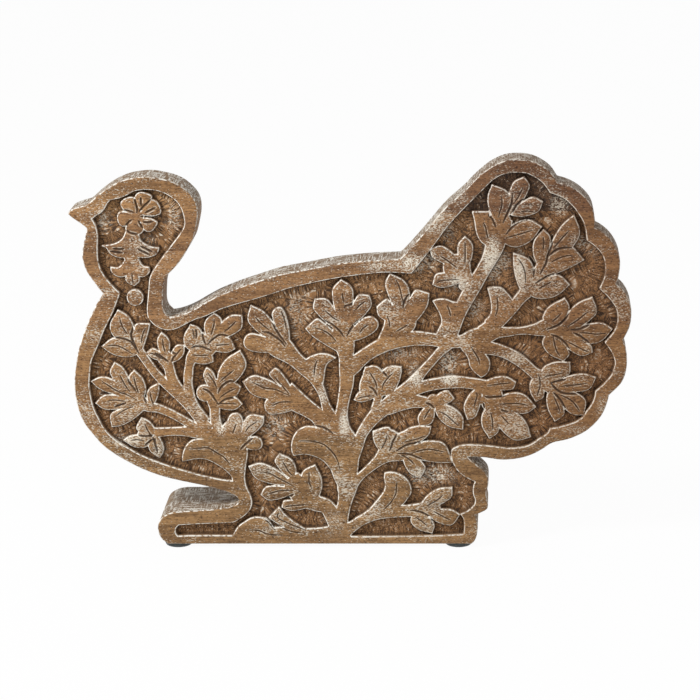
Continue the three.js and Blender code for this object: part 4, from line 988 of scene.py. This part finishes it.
def fit(piece, node_name, material):
    piece.data.materials.append(material)
    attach(piece, "root")
    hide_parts(node_name)


seam_levels = at([[0, share] for share in SEAMS])[:, 1]
lower_board = board("carved_lower_board", UNDERSIDE, seam_levels[0], (False, True))
fit(lower_board, "lower_board", carved_wood(
    "lower board wood", tint(158, 122, 80), tint(104, 76, 47), tint(150, 110, 70), tint(66, 45, 28)))

# --------------------------------------------------------------- middle board
# The board of the breast and the body, of the same mango wood in a warmer brown.
# It is glued between its neighbours, and sawn and carved with them.
middle_board = board("carved_middle_board", seam_levels[0], seam_levels[1], (True, True))
fit(middle_board, "middle_board", carved_wood(
    "middle board wood", tint(162, 123, 80), tint(110, 78, 48), tint(154, 112, 70), tint(68, 46, 28)))

# ---------------------------------------------------------------- upper board
# The board of the neck, the back and the upper tail feathers, of mango wood too.
# It is glued along the top of the middle board, and carries the two short boards above.
upper_board = board("carved_upper_board", seam_levels[1], seam_levels[2], (True, True))
fit(upper_board, "upper_board", carved_wood(
    "upper board wood", tint(158, 118, 78), tint(104, 73, 46), tint(156, 115, 74), tint(68, 47, 29)))

# ----------------------------------------------------------------- head board
# A short offcut of the same wood that finishes the crown of the head.
# It is glued on top of the upper board, and sawn and carved with it.
head_board = board("carved_head_board", seam_levels[2], HEIGHT, (True, False), high_x=0.0)
fit(head_board, "head_board", carved_wood(
    "head board wood", tint(164, 123, 80), tint(112, 81, 50), tint(176, 134, 88), tint(84, 60, 38)))

# ----------------------------------------------------------------- tail board
# A short offcut of redder, darker mango wood that finishes the top of the tail.
# It is glued on top of the upper board, level with the head's.
tail_board = board("carved_tail_board", seam_levels[2], HEIGHT, (True, False), low_x=0.0)
fit(tail_board, "tail_board", carved_wood(
    "tail board wood", tint(142, 104, 72), tint(92, 63, 42), tint(106, 78, 54), tint(50, 36, 26)))

# ----------------------------------------------------------------- base block
# A plain mango block glued behind the foot, which makes the base deep enough to stand on.
# It is sawn to the foot's outline, with its rear edges eased, and painted paler towards its top: painted
# light from above.
BLOCK = [
    [160, 12, 152, 20, 146, 30, 143, 42, 142, 54, 144, 68, 149, 80, 157, 88, 167, 94, 180, 97],
    [180, 97, 704, 97],
    [704, 97, 714, 93, 720, 84, 724, 62, 724, 48, 722, 32, 718, 19, 713, 12],
    [713, 12, 160, 12],
]

BLOCK_BACK_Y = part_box("base_block")[1][1]
BLOCK_ROUND = 1.2 * MM
BLOCK_TURNS = np.radians([0, 22.5, 45, 67.5, 90])


def prism(name, path, levels):
    """A closed mesh through copies of a path at some depths, each drawn in by an amount."""
    ahead = np.roll(path, -1, axis=0)
    tangent = ahead - np.roll(path, 1, axis=0)
    inward = np.column_stack([-tangent[:, 1], tangent[:, 0]])
    inward /= np.linalg.norm(inward, axis=1)[:, None] + 1e-12
    if np.sum(path[:, 0] * ahead[:, 1] - ahead[:, 0] * path[:, 1]) < 0:
        path, inward = path[::-1], -inward[::-1]
    count = len(path)
    points, faces = [], []
    for y, drawn_in in levels:
        ring = path + inward * drawn_in
        points += np.column_stack([ring[:, 0], np.full(count, y), ring[:, 1]]).tolist()
    for base in range(0, (len(levels) - 1) * count, count):
        for k in range(count):
            n = (k + 1) % count
            faces.append((base + n, base + k, base + count + k, base + count + n))
    faces.append(list(range(count)))
    last = (len(levels) - 1) * count
    faces.append([last + k for k in reversed(range(count))])
    mesh = bpy.data.meshes.new(name)
    mesh.from_pydata(points, [], faces)
    return add_piece(name, mesh, sharp_angle=40)


def block_wood(name, pale, dark):
    material = bpy.data.materials.new(name)
    tree = empty_tree(material)
    place = place_in_mm(tree)
    wood = node(tree, "ShaderNodeGroup", {"Place": place, "Pale": pale, "Dark": dark}, node_tree=grain)
    level = node(tree, "ShaderNodeSeparateXYZ", {0: place}).outputs[2]
    # the block is painted paler towards its top: painted light from above
    sawn = node(tree, "ShaderNodeGroup", {"Place": place, "Wood": wood.outputs["Color"],
                                          "Upward": step(tree, level, 21.0, 24.3, 0.15, 1.0)},
                node_tree=scuffs_and_light)
    scratch = noise(tree, place, (0.22, 0.55, 1.0), 3.0)
    surface(tree, sawn.outputs[0], step(tree, scratch, 0.3, 0.7, 0.6, 0.8),
            plus(tree, wood.outputs["Height"], scratch), 0.7, 0.12 * MM)
    return material


block = prism("sawn_base_block", outline(BLOCK), [(BACK_Y, 0.0)] + [
    (BLOCK_BACK_Y - BLOCK_ROUND * (1 - math.sin(turn)), BLOCK_ROUND * (1 - math.cos(turn)))
    for turn in BLOCK_TURNS])
fit(block, "base_block", block_wood("base block wood", tint(150, 122, 88), tint(98, 76, 54)))

# -------------------------------------------------------------------- bumpers
# Four bumpers of dark rubber, moulded as low domes with a flat sole.
# They are stuck under the base, one near each corner.
SOLE_SHARE = 13 / 18
dome = bpy.data.node_groups.new("bumper dome", "GeometryNodeTree")
GEOMETRY = "NodeSocketGeometry"
for label, kind in (("Geometry", GEOMETRY), ("Diameter", FLOAT), ("Sole", FLOAT), ("Height", FLOAT),
                    ("Place", VECTOR), ("Rubber", "NodeSocketMaterial")):
    dome.interface.new_socket(label, in_out="INPUT", socket_type=kind)
dome.interface.new_socket("Geometry", in_out="OUTPUT", socket_type=GEOMETRY)
given = node(dome, "NodeGroupInput").outputs
drum = node(dome, "GeometryNodeMeshCylinder", {"Vertices": 64, "Side Segments": 14, "Fill Segments": 6,
                                               "Radius": 1.0, "Depth": 1.0}, fill_type="NGON")
position = node(dome, "GeometryNodeInputPosition").outputs[0]
where = node(dome, "ShaderNodeSeparateXYZ", {0: position}).outputs
rise = plus(dome, where[2], 0.5)
fall = maths(dome, "POWER", maths(dome, "SUBTRACT", 1.0, rise), 2.0)
radius = times(dome, given["Diameter"], 0.5)
taper = times(dome, maths(dome, "SUBTRACT", given["Diameter"], given["Sole"]), 0.5)
radius = maths(dome, "SUBTRACT", radius, times(dome, taper, fall))
level = times(dome, given["Height"], maths(dome, "POWER", rise, 2.0))
shaped = node(dome, "ShaderNodeCombineXYZ", {0: times(dome, where[0], radius),
                                             1: times(dome, where[1], radius), 2: level})
placed = node(dome, "ShaderNodeVectorMath", {0: shaped.outputs[0], 1: given["Place"]}, operation="ADD")
moved = node(dome, "GeometryNodeSetPosition", {"Geometry": drum.outputs["Mesh"],
                                               "Position": placed.outputs[0]})
realized = node(dome, "GeometryNodeRealizeInstances", {0: moved.outputs[0]})
finished = node(dome, "GeometryNodeSetMaterial", {0: realized.outputs[0], "Material": given["Rubber"]})
node(dome, "NodeGroupOutput", {0: finished.outputs[0]})

rubber = bpy.data.materials.new("moulded rubber")
tree = empty_tree(rubber)
place = place_in_mm(tree)
dust = even_noise(tree, place, 0.7, 4.0)
surface(tree, blend(tree, step(tree, dust, 0.45, 0.75), tint(26, 34, 34), tint(62, 68, 66)),
        step(tree, dust, 0.3, 0.7, 0.34, 0.6), even_noise(tree, place, 4.0), 0.4, 0.04 * MM, shine=0.5)

for node_name in ("bumper_front_left", "bumper_front_right", "bumper_rear_left", "bumper_rear_right"):
    low, high = (np.array(corner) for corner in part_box(node_name))
    form = bpy.data.objects.new(node_name + "_form", bpy.data.meshes.new(node_name + "_form"))
    bpy.context.scene.collection.objects.link(form)
    maker = form.modifiers.new("dome", "NODES")
    maker.node_group = dome
    sizes = {"Diameter": high[0] - low[0], "Sole": (high[0] - low[0]) * SOLE_SHARE,
             "Height": high[2] - low[2], "Rubber": rubber,
             "Place": ((low[0] + high[0]) / 2, (low[1] + high[1]) / 2, 0.0)}
    for item in dome.interface.items_tree:
        if item.in_out == "INPUT" and item.name in sizes:
            maker[item.identifier] = sizes[item.name]
    graph = bpy.context.evaluated_depsgraph_get()
    mesh = bpy.data.meshes.new_from_object(form.evaluated_get(graph))
    bpy.data.objects.remove(form)
    bumper = add_piece("rubber_" + node_name, mesh, sharp_angle=50)
    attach(bumper, "root")
    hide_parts(node_name)

# ------------------------------------------------------------ floor and light
# A pale floor that meets a white surround, a large soft lamp from the upper left and a weaker fill.
FLOOR_HALF = 4
SHADOW_SHARE = 0.035
WHITE = (1.0, 1.0, 1.0, 1.0)


def seen_plainly(tree):
    """One where a thing is seen straight, in a gloss or through glass, and nothing where it only lights."""
    path = node(tree, "ShaderNodeLightPath").outputs
    return maths(tree, "MAXIMUM", path["Is Camera Ray"],
                 maths(tree, "MAXIMUM", path["Is Glossy Ray"], path["Is Transmission Ray"]))


floor_mesh = bpy.data.meshes.new("floor")
corners = [(x * FLOOR_HALF, y * FLOOR_HALF, 0) for x, y in ((-1, -1), (1, -1), (1, 1), (-1, 1))]
floor_mesh.from_pydata(corners, [], [(0, 1, 2, 3)])
floor = bpy.data.objects.new("floor", floor_mesh)
bpy.context.scene.collection.objects.link(floor)
paper = bpy.data.materials.new("white paper")
tree = empty_tree(paper)
matt = node(tree, "ShaderNodeBsdfDiffuse", {"Color": (0.8, 0.8, 0.8, 1.0)})
lit = node(tree, "ShaderNodeEmission", {"Color": WHITE, "Strength": 1.0})
joined = node(tree, "ShaderNodeMixShader", {0: times(tree, seen_plainly(tree), 1 - SHADOW_SHARE),
                                            1: matt.outputs[0], 2: lit.outputs[0]})
node(tree, "ShaderNodeOutputMaterial", {"Surface": joined.outputs[0]})
floor_mesh.materials.append(paper)

world = bpy.data.worlds.new("surround")
bpy.context.scene.world = world
tree = empty_tree(world)
soft = node(tree, "ShaderNodeBackground", {"Color": WHITE, "Strength": 0.42})
white = node(tree, "ShaderNodeBackground", {"Color": WHITE, "Strength": 1.0})
joined = node(tree, "ShaderNodeMixShader", {0: seen_plainly(tree), 1: soft.outputs[0], 2: white.outputs[0]})
node(tree, "ShaderNodeOutputWorld", {"Surface": joined.outputs[0]})

LAMP_AIM = np.array((0.0, 0.0, 0.12))
for name, place, size, power in (("key lamp", (-1.5, -1.15, 1.5), 0.6, 46),
                                 ("fill lamp", (1.6, -1.8, 0.9), 1.4, 9)):
    data = bpy.data.lights.new(name, "AREA")
    data.shape, data.size, data.energy = "DISK", size, power
    lamp = bpy.data.objects.new(name, data)
    bpy.context.scene.collection.objects.link(lamp)
    lamp.location = place
    away_x, away_y, away_z = np.array(place) - LAMP_AIM
    lamp.rotation_euler = (math.atan2(math.hypot(away_x, away_y), away_z), 0, math.atan2(away_x, -away_y))

# --------------------------------------------------------------------- camera
# It looks down on the figure by about 14 degrees from straight ahead, and its picture is shifted
# sideways, not turned. The first three values are in dots of the picture.
PICTURE_SIDE, FOCAL_LENGTH, SIGHT_ACROSS = 700, 2890, 512.7
SENSOR_WIDTH = 36
DOWNWARD_ANGLE = 14.15
camera_data = bpy.data.cameras.new("camera")
camera_data.lens = FOCAL_LENGTH / PICTURE_SIDE * SENSOR_WIDTH
camera_data.sensor_width = SENSOR_WIDTH
camera_data.shift_x = -(SIGHT_ACROSS - PICTURE_SIDE / 2) / PICTURE_SIDE
camera_data.clip_start, camera_data.clip_end = 0.05, 50
camera = bpy.data.objects.new("camera", camera_data)
bpy.context.scene.collection.objects.link(camera)
camera.location = (0.1025, FACE_Y - 1.7876, 0.5835)
camera.rotation_euler = (math.radians(90 - DOWNWARD_ANGLE), 0, 0)
bpy.context.scene.camera = camera
bpy.context.scene.view_settings.view_transform = "Standard"
